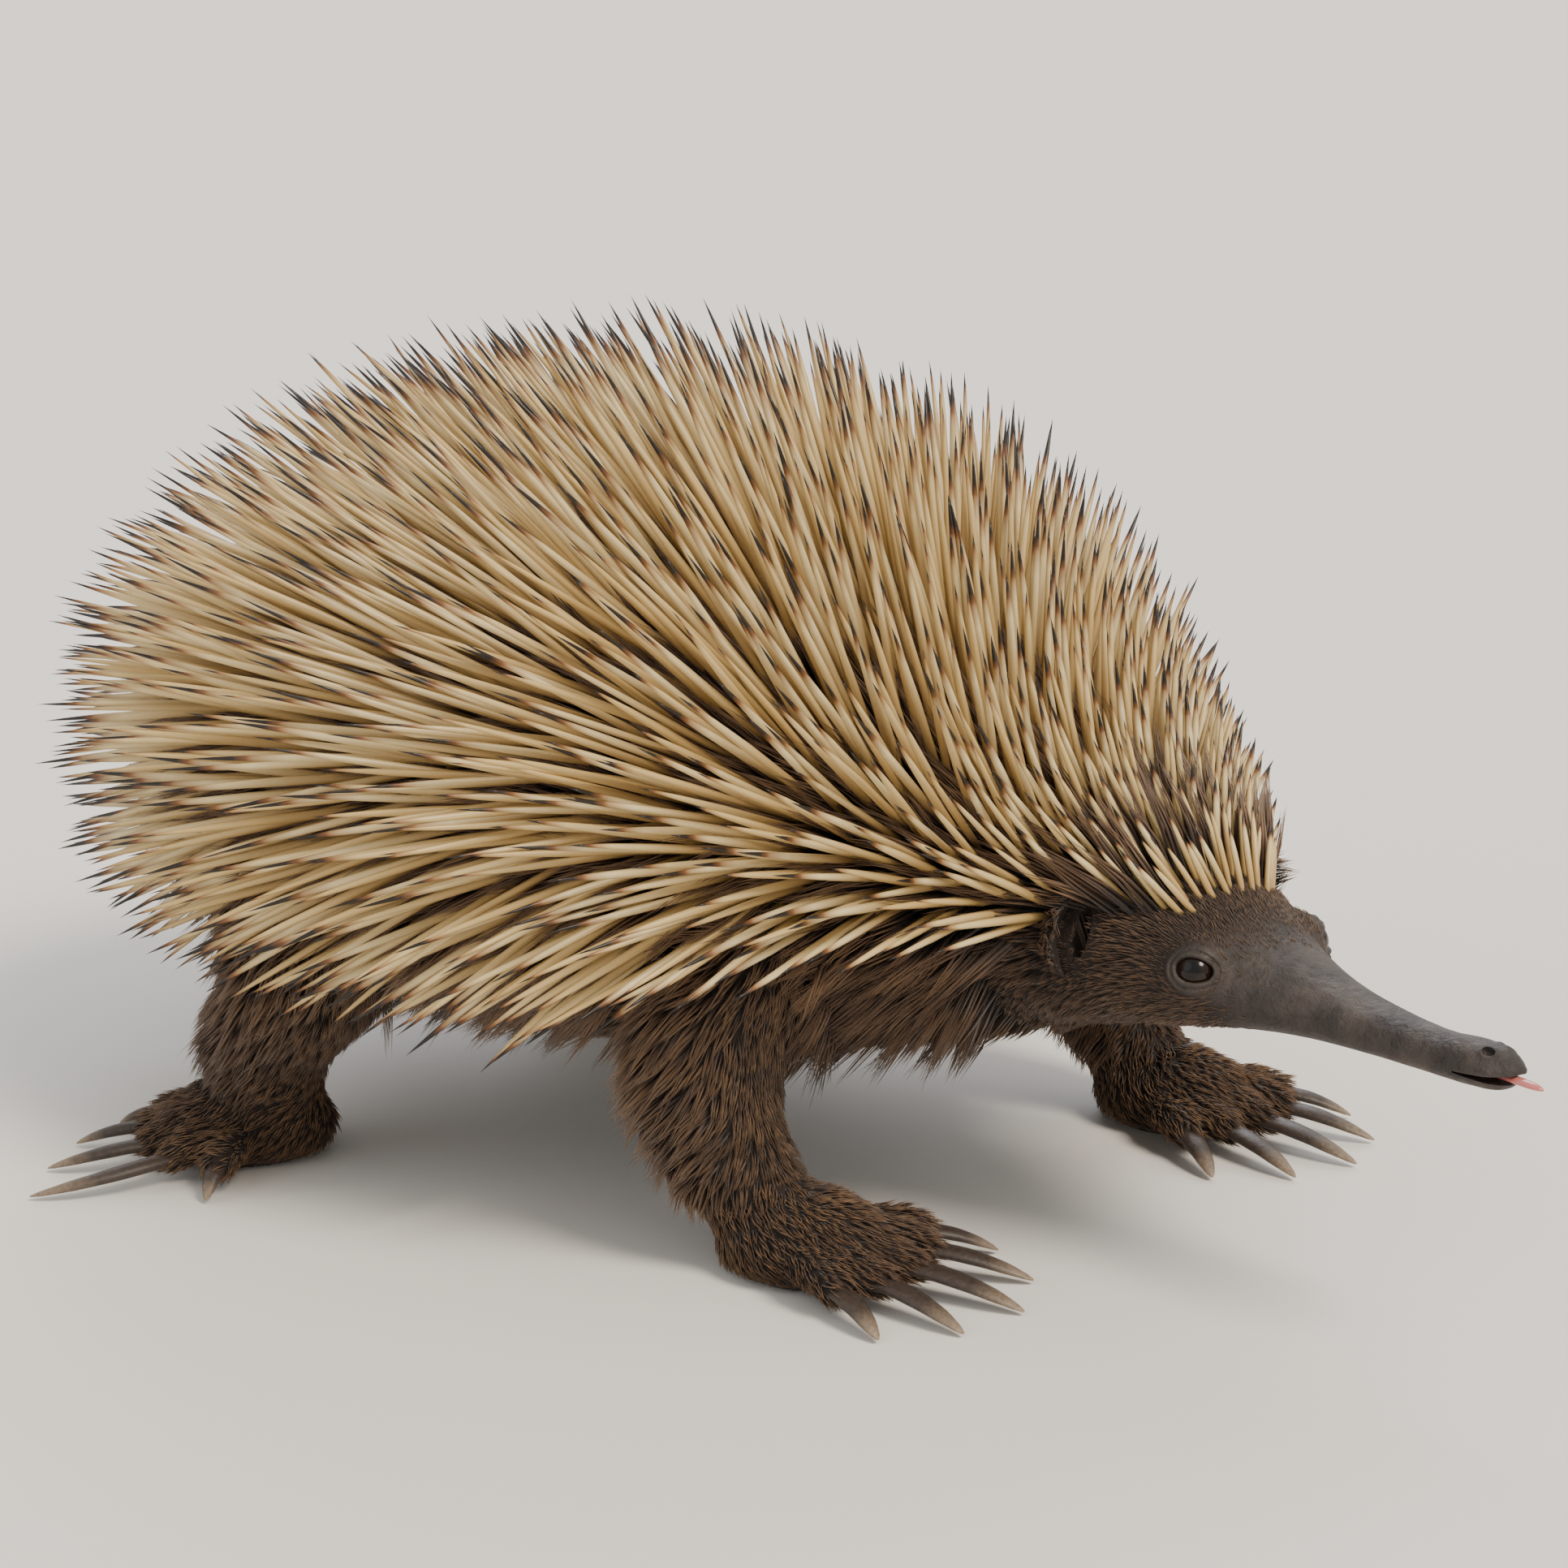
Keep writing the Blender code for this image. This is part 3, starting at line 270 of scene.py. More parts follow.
def besideBackbone(s, side, height):
    heading = np.interp(s, backboneS, backboneHeading)
    x = np.interp(s, backboneS, backboneX) - side * np.sin(heading)
    y = np.interp(s, backboneS, backboneY) + side * np.cos(heading)
    return np.stack(np.broadcast_arrays(x, y, height), axis=-1)


def skinAt(s, angle):  # the angle runs from the left side up over the back
    top, belly, half, _, _ = sectionAt(s)
    level = belly + section["widest"] * (top - belly)
    across, up = np.cos(angle), np.sin(angle)
    power = np.where(up > 0, section["backPower"], section["bellyPower"])
    reach = np.where(up > 0, top - level, level - belly)
    side = half * np.sign(across) * np.abs(across) ** power
    return besideBackbone(s, side, level + reach * np.sign(up) * np.abs(up) ** power)


def normalAt(s, angle):
    along = skinAt(s + 0.1 * mm, angle) - skinAt(s - 0.1 * mm, angle)
    around = skinAt(s, angle + 1e-3) - skinAt(s, angle - 1e-3)
    return unit(np.cross(around, along))


def coatDepth(s, angle):
    *_, back, belly = sectionAt(s)
    return belly + (back - belly) * smoothStep(section["coatFrom"], section["coatTo"], np.sin(angle))


def placeOf(points):  # station, angle and how far out each point lies, where 1 is on the trunk's own skin
    s = points[:, 0] - backboneX[0] + backboneS[0]
    for _ in range(6):
        heading = np.interp(s, backboneS, backboneHeading)
        dx = points[:, 0] - np.interp(s, backboneS, backboneX)
        dy = points[:, 1] - np.interp(s, backboneS, backboneY)
        s = s + dx * np.cos(heading) + dy * np.sin(heading)
    top, belly, half, _, _ = sectionAt(s)
    level = belly + section["widest"] * (top - belly)
    over = points[:, 2] > level
    power = np.where(over, section["backPower"], section["bellyPower"])
    across = (-dx * np.sin(heading) + dy * np.cos(heading)) / half
    up = (points[:, 2] - level) / np.where(over, top - level, level - belly)
    a, b = np.abs(across) ** (1 / power), np.abs(up) ** (1 / power)
    return s, np.arctan2(np.sign(up) * b, np.sign(across) * a), np.hypot(a, b)


eyeForm = dict(s=169, angle=17, radius=4.6, sunk=2.9)  # mm and degrees; sunk under the top of the coat


def eyePlace(side):
    angle = math.radians(eyeForm["angle"]) if side > 0 else math.pi - math.radians(eyeForm["angle"])
    s = eyeForm["s"] * mm
    out = normalAt(s, angle)
    return skinAt(s, angle) + out * (coatDepth(s, angle) - eyeForm["sunk"] * mm), out


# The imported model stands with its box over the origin, so the backbone moves to where its left eye is.
eyeLow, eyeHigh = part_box("eye_left")
shift = np.array((eyeLow + eyeHigh) / 2) - eyePlace(1)[0]
backboneX += shift[0]
backboneY += shift[1]
print("frame read, shifted by", np.round(shift / mm, 2), "mm")


# Modelling

def clearSelection():
    if bpy.context.object and bpy.context.object.mode != "OBJECT":
        bpy.ops.object.mode_set(mode="OBJECT")
    bpy.ops.object.select_all(action="DESELECT")


def pickOut(*objects):
    clearSelection()
    for thing in objects:
        thing.select_set(True)
    bpy.context.view_layer.objects.active = objects[0]


def loft(name, rings, pointed=False):  # a filled circle, extruded from ring to ring and set to each
    clearSelection()
    bpy.ops.mesh.primitive_circle_add(vertices=len(rings[0]), radius=mm, fill_type="NGON")
    made = bpy.context.object
    made.name = name
    made.data.attributes.new("turn", "INT", "POINT").data.foreach_set("value", range(len(rings[0])))
    made.data.attributes.new("along", "FLOAT", "POINT")
    bpy.ops.object.mode_set(mode="EDIT")
    bpy.ops.mesh.select_all(action="SELECT")
    for i, ring in enumerate(rings):
        if i:
            bpy.ops.mesh.extrude_region_move()
        mesh = bmesh.from_edit_mesh(made.data)
        turn, along = mesh.verts.layers.int["turn"], mesh.verts.layers.float["along"]
        for vertex in [v for v in mesh.verts if v.select]:
            vertex.co = ring[vertex[turn]]
            vertex[along] = i / (len(rings) - 1)
        bmesh.update_edit_mesh(made.data)
    if pointed:
        bpy.ops.mesh.merge(type="COLLAPSE")
    bpy.ops.mesh.select_all(action="SELECT")
    bpy.ops.mesh.normals_make_consistent(inside=False)
    bpy.ops.object.mode_set(mode="OBJECT")
    return made


def ringsAlong(path, halves, sides, turns=0.0):  # upright ellipses round a path
    path = np.asarray(path, float)
    ways = unit(np.gradient(path, axis=0))
    angles = np.arange(sides) * math.tau / sides + turns
    rings = []
    for point, way, (wide, thick) in zip(path, ways, halves):
        side = unit(np.cross((0, 0, 1), way))
        up = np.cross(way, side)
        rings.append(point + np.outer(np.cos(angles) * wide, side) + np.outer(np.sin(angles) * thick, up))
    return rings


def applied(thing, kind, **settings):  # a modifier with its settings, applied
    pickOut(thing)
    step = thing.modifiers.new(kind.lower(), kind)
    for key, value in settings.items():
        setattr(step, key, value)
    bpy.ops.object.modifier_apply(modifier=step.name)
    return thing


def joined(name, *things):
    pickOut(*things)
    bpy.ops.object.join()
    bpy.context.object.name = name
    return bpy.context.object


def pointsOf(thing):
    points = np.zeros(len(thing.data.vertices) * 3)
    thing.data.vertices.foreach_get("co", points)
    return points.reshape(-1, 3)


def setPoints(thing, points):
    thing.data.vertices.foreach_set("co", points.ravel())
    thing.data.update()


def fromSpots(points, spots):  # distance to the nearest spot
    return np.min([np.linalg.norm(points - spot, axis=1) for spot in spots], axis=0)


def refined(thing, chosen, cuts=1):  # subdivides the faces whose middles are chosen
    pickOut(thing)
    middles = np.zeros(len(thing.data.polygons) * 3)
    thing.data.polygons.foreach_get("center", middles)
    bpy.ops.object.mode_set(mode="EDIT")
    bpy.ops.mesh.select_all(action="DESELECT")
    bpy.ops.mesh.select_mode(type="FACE")
    bpy.ops.object.mode_set(mode="OBJECT")
    thing.data.polygons.foreach_set("select", chosen(middles.reshape(-1, 3)))
    bpy.ops.object.mode_set(mode="EDIT")
    bpy.ops.mesh.subdivide(number_cuts=cuts)
    bpy.ops.object.mode_set(mode="OBJECT")


def combined(thing, other, operation):
    applied(thing, "BOOLEAN", operation=operation, object=other, solver="MANIFOLD")
    bpy.data.objects.remove(other)


# Legs and feet, for the left side in mm. The right side mirrors them, a stride further back or forwards.

frontLeg = ((66, 40, 84, 25), (60, 62, 68, 21), (59, 76, 50, 17.5), (67, 78, 31, 14), (78, 76, 15, 12.5))
hindLeg = ((-86, 44, 94, 32), (-72, 70, 68, 25), (-74, 82, 48, 19), (-88, 85, 30, 14.5), (-92, 84, 15, 13))
stride = 9
frontPaw = dict(centre=(89, 74, 8), half=(23, 18, 14), heading=-6)
hindFoot = dict(centre=(-96, 88, 8), half=(24, 17, 14), heading=128)
# Angle from the foot's heading, start to the side, reach, then the claw's length, width, thickness and turn.
frontToes = (
    (-30, -13, 25, 17, 6.4, 3.4, -6),
    (-13, -7, 30, 24, 7.0, 3.6, -3),
    (0, 0, 32, 27, 7.4, 3.8, 0),
    (13, 7, 30, 24, 7.0, 3.6, 3),
    (28, 13, 25, 17, 6.4, 3.4, 6),
)
hindToes = (
    (-62, -12, 23, 8, 5.0, 3.4, 0),
    (-26, -8, 26, 36, 6.2, 4.0, 44),
    (-6, -2, 28, 25, 5.8, 3.8, 32),
    (12, 5, 27, 18, 5.4, 3.6, 24),
    (32, 11, 23, 13, 5.0, 3.4, 16),
)
toeForm = dict(radius=4.9, height=6.4, tipHeight=1.2)
limbs = [
    dict(name=f"{end}_{word}", side=side, shift=stride * side * (1 if end == "front" else -1), **parts)
    for end, parts in (
        ("front", dict(rows=frontLeg, foot=frontPaw, toes=frontToes)),
        ("hind", dict(rows=hindLeg, foot=hindFoot, toes=hindToes)),
    )
    for word, side in (("left", 1), ("right", -1))
]


def curveThrough(points, count):
    points = np.asarray(points, float)
    keys = np.concatenate([[0], np.cumsum(np.linalg.norm(np.diff(points[:, :3], axis=0), axis=1))])
    slopes = np.gradient(points, keys, axis=0)
    s = np.linspace(0, keys[-1], count)
    i = np.clip(np.searchsorted(keys, s, side="right") - 1, 0, len(keys) - 2)
    span = (keys[i + 1] - keys[i])[:, None]
    u = (s - keys[i])[:, None] / span
    start = (2 * u**3 - 3 * u**2 + 1) * points[i] + (u**3 - 2 * u**2 + u) * span * slopes[i]
    return start + (3 * u**2 - 2 * u**3) * points[i + 1] + (u**3 - u**2) * span * slopes[i + 1]


def legRows(limb, count=15):  # middle line and radius of a leg, from inside the body down
    points = np.array(limb["rows"], float)
    points[:, 1] *= limb["side"]
    points[:, 0] += limb["shift"] * smoothStep(0, len(points) - 1, np.arange(len(points)))
    points *= mm
    points[:, :2] += shift[:2]
    return curveThrough(points, count)


def footPlace(limb):
    x, y, z = limb["foot"]["centre"]
    centre = np.array((x + limb["shift"], y * limb["side"], z)) * mm
    centre[:2] += shift[:2]
    return centre, math.radians(limb["foot"]["heading"]) * limb["side"]


def toeLine(limb, toe):
    centre, heading = footPlace(limb)
    angle, start, reach = toe[:3]
    ahead = np.array((math.cos(heading), math.sin(heading), 0))
    outwards = np.array((-ahead[1], ahead[0], 0)) * limb["side"]
    turn = heading + math.radians(angle) * limb["side"]
    way = np.array((math.cos(turn), math.sin(turn), 0))
    root = centre + outwards * (start * mm) + ahead * (4 * mm)
    tip = root + way * ((reach - 4) * mm)
    root[2], tip[2] = (toeForm["height"] + 2) * mm, toeForm["height"] * mm
    return root, tip, way


def legSolid(limb):
    rows = legRows(limb)
    ways = unit(unit(np.gradient(rows[:, :3], axis=0)) + (0, 0, -1))
    angles = np.arange(28) * math.tau / 28
    rings = []
    for (x, y, z, radius), way in zip(rows, ways):
        ahead = unit(np.cross((0, 1, 0), way))
        across = np.cross(way, ahead)
        rings.append((x, y, z) + radius * (np.outer(np.cos(angles), ahead) + np.outer(np.sin(angles), across)))
    return loft("leg", rings)


def footSolids(limb):  # a flattened ball and its toes, a knuckle in each
    centre, heading = footPlace(limb)
    clearSelection()
    bpy.ops.mesh.primitive_uv_sphere_add(segments=32, ring_count=20, radius=1, location=centre)
    palm = bpy.context.object
    palm.scale = np.array(limb["foot"]["half"]) * mm - 1.2 * mm
    palm.rotation_euler.z = heading
    bpy.ops.object.transform_apply(location=True, rotation=True, scale=True)
    made = [palm]
    for toe in limb["toes"]:
        root, tip, way = toeLine(limb, toe)
        shares = np.array((0, 0.3, 0.55, 0.75, 0.95, 1.05))
        path = root + np.outer(shares, tip - root)
        path[:, 2] += 1.6 * mm * np.sin(np.clip(shares, 0, 1) * math.pi)
        fat = np.array((0.8, 0.9, 1.03, 0.93, 0.86, 0.5)) * toeForm["radius"] * mm
        made.append(loft("toe", ringsAlong(path, [(r, r * 0.92) for r in fat], 16)))
    return made


# Skin: trunk, head, beak, tail, legs and feet as one closed surface

skinForm = dict(mesh=2.1, sides=72, tailThin=6.0, sole=0.15)  # mm
tailRows = ((-132, 92, 24), (-154, 80, 19), (-172, 70, 14), (-186, 61, 8), (-190, 58, 4))
stations = np.concatenate([
    (-149, -148, -146.5),
    np.arange(-144, 100, 5),
    np.arange(100, 184, 3),
    np.arange(184, 240, 2.5),
    (240, 242, 244, 245.5, 247, 248, 249, 249.6, 250),
]) * mm


def tailSolid():
    rows = curveThrough([(x, 0, z, r - skinForm["tailThin"]) for x, z, r in tailRows[:-1]], 14) * mm
    rows[:, :2] += shift[:2]
    return loft("tail", ringsAlong(rows[:, :3], [(r * 1.15, r) for r in rows[:, 3]], 32))


def bodySolid():
    angles = np.arange(skinForm["sides"]) * math.tau / skinForm["sides"]
    return loft("trunk", [skinAt(np.full(len(angles), s), angles) for s in stations])


def eyeAxes(side):
    centre, out = eyePlace(side)
    ahead = besideBackbone(eyeForm["s"] * mm + mm, 0, 0) - besideBackbone(eyeForm["s"] * mm, 0, 0)
    ahead = unit(ahead - out * (ahead @ out))
    up = np.cross(out, ahead) * side
    return centre, out, ahead, up if up[2] > 0 else -up


skinParts = [bodySolid(), tailSolid()]
for limb in limbs:
    skinParts += [legSolid(limb), *footSolids(limb)]
skin = joined("skin", *skinParts)
applied(skin, "REMESH", mode="VOXEL", voxel_size=skinForm["mesh"] * mm)
applied(skin, "SMOOTH", factor=0.5, iterations=5)
print("skin closed:", len(skin.data.polygons), "faces")

eyeSpots = [eyePlace(side)[0] for side in (1, -1)]
refined(skin, lambda middles: placeOf(middles)[0] > 148 * mm)
applied(skin, "SMOOTH", factor=0.5, iterations=3)
refined(skin, lambda middles: (placeOf(middles)[0] > 232 * mm) | (fromSpots(middles, eyeSpots) < 9 * mm))
refined(skin, lambda middles: fromSpots(middles, eyeSpots) < 7 * mm)

# Lids round each eye: height over the eyeball by distance out from the opening's edge, in mm.
lidForm = dict(front=4.7, back=3.9, upper=2.7, lower=3.0, tilt=8)
lidProfile = ((-0.9, -1.6), (-0.25, -0.9), (0, 0.2), (0.35, 0.72), (0.8, 0.8), (1.3, 0.35), (1.65, -0.12),
              (2.1, 0.12), (2.6, -0.1), (3.1, -0.75), (4.2, -1.5), (6.5, -2.4))


def raiseLids(points):
    for side in (1, -1):
        centre, out, ahead, up = eyeAxes(side)
        rel = points - centre
        a, b, height = rel @ ahead / mm, rel @ up / mm, rel @ out / mm
        near = (np.hypot(a, b) < 11) & (height > -8)
        a, b, height = a[near], b[near], height[near]
        tilt = math.radians(lidForm["tilt"])
        a, b = a * math.cos(tilt) + b * math.sin(tilt), b * math.cos(tilt) - a * math.sin(tilt)
        wide = np.where(a > 0, lidForm["front"], lidForm["back"])
        high = np.where(b > 0, lidForm["upper"], lidForm["lower"])
        q = np.maximum(np.hypot(a / wide, b / high), 1e-4)
        edge = np.hypot(a, b) / q
        away = np.hypot(a, b) - edge
        ball = np.sqrt(np.maximum(eyeForm["radius"] ** 2 - np.minimum(edge, 4.2) ** 2, 0))
        target = ball + np.interp(away, *zip(*lidProfile))
        share = 1 - smoothStep(2.4, 7.0, away)
        points[near] += np.outer((target - height) * share * mm, out)
    return points


# Lips along the mouth and a rim round each nostril.
mouthForm = dict(start=236, end=262, height=69.4, gape=2.5, cornerGape=0.5, lip=0.45, lipWide=1.1)
nostrilForm = dict(s=243.2, side=3.1, height=75.0, radius=1.25, long=1.7, rim=0.35)


def raiseBeak(points):
    s, angle, _ = placeOf(points)
    out = normalAt(s, angle)
    tip = s > 228 * mm
    half = mouthForm["gape"] / 2 * smoothStep(mouthForm["start"], mouthForm["start"] + 9, s / mm)
    offset = np.abs(points[:, 2] / mm - mouthForm["height"]) - half
    lip = mouthForm["lip"] * np.exp(-((offset - 0.6) / mouthForm["lipWide"]) ** 2)
    lip *= smoothStep(mouthForm["start"] - 2, mouthForm["start"] + 4, s / mm)
    points[tip] += out[tip] * (lip[tip] * mm)[:, None]
    for side in (1, -1):
        centre = besideBackbone(nostrilForm["s"] * mm, side * nostrilForm["side"] * mm, nostrilForm["height"] * mm)
        reach = np.linalg.norm(points - centre, axis=1) / mm
        rim = nostrilForm["rim"] * np.exp(-((reach - 1.7) / 0.8) ** 2)
        points += out * (rim * mm)[:, None]
    return points


setPoints(skin, raiseLids(pointsOf(skin)))
setPoints(skin, raiseBeak(pointsOf(skin)))

# Ears: an upright fold behind a deep slit
earForm = dict(s=139, angle=14, height=22, proud=2.4, thick=1.5, slit=(2.5, 7.2, 6.0))


def earAxes(side):
    angle = math.radians(earForm["angle"]) if side > 0 else math.pi - math.radians(earForm["angle"])
    s = earForm["s"] * mm
    out = normalAt(s, angle)
    ahead = skinAt(s + mm, angle) - skinAt(s, angle)
    ahead = unit(ahead - out * (ahead @ out))
    up = np.cross(out, ahead) * side
    return skinAt(s, angle), out, ahead, up if up[2] > 0 else -up, coatDepth(s, angle)


def rounder(ring):  # twice the points, on a smooth curve
    after, before = np.roll(ring, -1, axis=0), np.roll(ring, 1, axis=0)
    return np.stack([(before + 6 * ring + after) / 8, (ring + after) / 2], axis=1).reshape(-1, 3)


def earFold(side):
    middle, out, ahead, up, depth = earAxes(side)
    rings = []
    for share in np.linspace(-1, 1, 41):
        bow = max(1 - abs(share) ** 2.4, 0.02)
        base = middle + up * (share * earForm["height"] / 2 * mm) - ahead * ((0.5 + 4.2 * bow) * mm)
        reach = (depth + earForm["proud"] * mm) * bow
        line = [base - out * (2 * mm), base + out * (reach * 0.55), base + out * reach + ahead * (2.6 * bow * mm)]
        half = ahead * (earForm["thick"] / 2 * mm)
        ring = np.array([line[0] - half, line[1] - half * 0.9, line[2] - half * 0.5 + out * (0.3 * mm),
                         line[2] + half * 0.9, line[1] + half * 0.8, line[0] + half])
        rings.append(rounder(rounder(ring)))
    return loft("ear", rings)


def ellipsoid(centre, axes, halves):  # a ball set along three axes
    clearSelection()
    bpy.ops.mesh.primitive_uv_sphere_add(segments=24, ring_count=14, radius=1)
    made = bpy.context.object
    turned = Matrix(np.array(axes).T).to_4x4() @ Matrix.Diagonal((*halves, 1))
    made.data.transform(Matrix.Translation(centre) @ turned)
    bpy.ops.object.mode_set(mode="EDIT")
    bpy.ops.mesh.normals_make_consistent(inside=False)
    bpy.ops.object.mode_set(mode="OBJECT")
    return made


def mouthSlit():  # narrow at the corners, open at the tip
    path, halves = [], []
    for share in np.linspace(0, 1, 9):
        s = (mouthForm["start"] + share * (mouthForm["end"] - mouthForm["start"])) * mm
        path.append(besideBackbone(s, 0, mouthForm["height"] * mm))
        wider = (mouthForm["gape"] - mouthForm["cornerGape"]) * min(1, share * 2.2)
        halves.append((11 * mm, (mouthForm["cornerGape"] + wider) / 2 * mm))
    return loft("slit", ringsAlong(path, halves, 20))


for side in (1, -1):
    combined(skin, earFold(side), "UNION")
    middle, out, ahead, up, depth = earAxes(side)
    size = np.array(earForm["slit"]) * mm
    combined(skin, ellipsoid(middle + ahead * mm, (ahead, up, out), size), "DIFFERENCE")
    heading = -math.radians(neck["turn"])
    forwards, sideways = (math.cos(heading), math.sin(heading), 0), (-math.sin(heading), math.cos(heading), 0)
    centre = besideBackbone(nostrilForm["s"] * mm, side * nostrilForm["side"] * mm, nostrilForm["height"] * mm)
    size = np.array((nostrilForm["long"], nostrilForm["radius"], nostrilForm["radius"])) * mm
    combined(skin, ellipsoid(centre, (forwards, sideways, (0, 0, 1)), size), "DIFFERENCE")
combined(skin, mouthSlit(), "DIFFERENCE")

skinPoints = pointsOf(skin)
skinPoints[:, 2] = np.maximum(skinPoints[:, 2], skinForm["sole"] * mm)
setPoints(skin, skinPoints)
pickOut(skin)
bpy.ops.object.shade_smooth_by_angle(angle=math.radians(55))
print("skin shaped:", len(skin.data.polygons), "faces")

points = pointsOf(skin)
s, angle, off = placeOf(points)
bare = smoothStep(166, 180, s / mm + 2.5 * np.sin(angle) + 3 * np.sin(3 * angle)) * (off < 2)
for side in (1, -1):
    centre, out, *_ = eyeAxes(side)
    bare = np.maximum(bare, 1 - smoothStep(5.5, 8, np.linalg.norm(points - centre, axis=1) / mm))
bare = np.maximum(bare, 1 - smoothStep(2, 5, points[:, 2] / mm))
skin.data.attributes.new("bare", "FLOAT", "POINT").data.foreach_set("value", bare)


# Skin as triangles, for planting the coat

def legPlace(points, limb):  # share of the way down a leg, how far off its line and the turn about it
    rows = legRows(limb, 60)
    gaps = np.linalg.norm(points[:, None] - rows[None, :, :3], axis=2) if len(points) else np.zeros((0, 60))
    nearest = gaps.argmin(axis=1)
    off = points - rows[nearest, :3]
    away = gaps[np.arange(len(points)), nearest] - rows[nearest, 3]
    return nearest / 59, away, np.arctan2(off[:, 1], off[:, 0])


skinPoints = pointsOf(skin)
starts, counts = np.zeros((2, len(skin.data.polygons)), int)
loops = np.zeros(len(skin.data.loops), int)
skin.data.polygons.foreach_get("loop_start", starts)
skin.data.polygons.foreach_get("loop_total", counts)
skin.data.loops.foreach_get("vertex_index", loops)
corners = []  # sorted, because a Boolean leaves its faces in no fixed order
for count in np.unique(counts):
    faces = loops[starts[counts == count][:, None] + np.arange(count)]
    faces = np.take_along_axis(faces, (faces.argmin(axis=1)[:, None] + np.arange(count)) % count, axis=1)
    corners += [faces[:, (0, k, k + 1)] for k in range(1, count - 1)]
corners = np.concatenate(corners)
corners = corners[np.lexsort(corners.T[::-1])]
edgesOut = np.cross(skinPoints[corners[:, 1]] - skinPoints[corners[:, 0]],
                    skinPoints[corners[:, 2]] - skinPoints[corners[:, 0]])
skinNormals = np.zeros((len(skinPoints), 3))
for k in range(3):
    np.add.at(skinNormals, corners[:, k], edgesOut)
skinNormals /= np.maximum(np.linalg.norm(skinNormals, axis=1), 1e-20)[:, None]
areas = np.linalg.norm(edgesOut, axis=1) / 2
middles = skinPoints[corners].mean(axis=1)
middleS, middleAngle, middleOff = placeOf(middles)
sine = np.sin(middleAngle)

onTail = (middleOff > 1.06) & (middleS < -122 * mm)
onTail &= (np.abs(middles[:, 1]) < 30 * mm) & (middles[:, 2] > 45 * mm)
aheadOfNeck = (middleS > 118 * mm) & (middles[:, 2] > 50 * mm)
offTrunk = (middleOff > 1.05) & ~onTail & ~aheadOfNeck & (middles[:, 2] < 100 * mm)
onFoot = offTrunk & (middles[:, 2] < 20 * mm)
onLeg = offTrunk & ~onFoot
nearEar = fromSpots(middles, [earAxes(side)[0] for side in (1, -1)]) < 15 * mm
onTrunk = ~offTrunk & ~onTail & ~(nearEar & (np.abs(middleOff - 1) > 0.035))
frontHalf = middles[:, 0] > -20 * mm

# Edge of the spines, as the lowest angle over the side in degrees at distances along the backbone in mm.
spineEdge = ((-149, -28), (-100, -20), (-40, -16), (40, -12), (90, 4), (112, 10), (120, 8), (158, 52))
edgeSine = np.sin(np.radians(np.interp(middleS / mm, *zip(*spineEdge))))


def thinned(points, apart):  # keeps points in order while none is nearer than apart to one kept before
    tree = KDTree(len(points))
    for i, point in enumerate(points):
        tree.insert(point, i)
    tree.balance()
    left = [True] * len(points)
    for i, point in enumerate(points):
        if left[i]:
            for _, other, _ in tree.find_range(point, apart[i]):
                if other > i:
                    left[other] = False
    return np.flatnonzero(left)


def spread(chosen, spacing, crowd=5):  # places over the chosen triangles, with their normals
    rows = np.flatnonzero(chosen)
    gap = (spacing[rows] if isinstance(spacing, np.ndarray) else np.full(len(rows), float(spacing))) * mm
    chance = areas[rows] / gap**2
    picks = rng.choice(len(rows), int(chance.sum() * crowd), p=chance / chance.sum())
    a, b = rng.uniform(size=(2, len(picks)))
    over = a + b > 1
    a, b = np.where(over, 1 - a, a), np.where(over, 1 - b, b)
    weights = np.stack([1 - a - b, a, b], axis=1)[:, :, None]
    held = corners[rows[picks]]
    points = (skinPoints[held] * weights).sum(axis=1)
    outs = unit((skinNormals[held] * weights).sum(axis=1))
    kept = thinned(points, gap[picks] * 0.82)
    return points[kept], outs[kept]


def drift(points, size, seed):  # smooth chance from -1 to 1 that changes over a distance in mm
    offset = Vector((seed * 7.3, seed * 3.1, seed * 5.7))
    return np.array([noise.noise(Vector(p) / (size * mm) + offset) for p in points]) * 1.6


# Tufts and spines, each modelled once and planted many times

def modelOf(things):  # one plain set of arrays from joined objects, which are then removed
    whole = joined("model", *things)
    points = pointsOf(whole)
    along = np.zeros(len(points))
    whole.data.attributes["along"].data.foreach_get("value", along)
    loops = np.zeros(len(whole.data.loops), int)
    whole.data.loops.foreach_get("vertex_index", loops)
    sizes = np.zeros(len(whole.data.polygons), int)
    whole.data.polygons.foreach_get("loop_total", sizes)
    across = points[:, 0] + 0.35 * points[:, 1]
    across = (across - across.min()) / np.ptp(across)
    bpy.data.objects.remove(whole)
    return dict(points=points, along=along, across=across, loops=loops, sizes=sizes)


def hairTuft(count, seed, radius=0.16, meet=0.45):  # one unit wide and one long, its hairs drawn together
    dice = np.random.RandomState(seed)
    hairs = []
    for k in range(count):
        turn = math.tau * (k + dice.uniform(-0.3, 0.3)) / count
        root = np.array((math.cos(turn) * 0.5, math.sin(turn) * 0.28, 0)) * (0.4 if k == 0 else 1)
        reach = 1 if k == 0 else dice.uniform(0.72, 0.97)
        lean = np.array((dice.uniform(-0.22, 0.22), dice.uniform(-0.12, 0.16), 0))
        path = [root, root * 0.9 + lean * 0.4 + (0, 0, reach * 0.5), root * meet + lean + (0, 0, reach)]
        turns = np.arange(3) * math.tau / 3 + dice.uniform(0, 2)
        rings = [point + np.stack([np.cos(turns), np.sin(turns), np.zeros(3)], axis=1) * radius * share
                 for point, share in zip(path, (1, 0.85, 0.1))]
        hairs.append(loft("hair", rings, pointed=True))
    return modelOf(hairs)


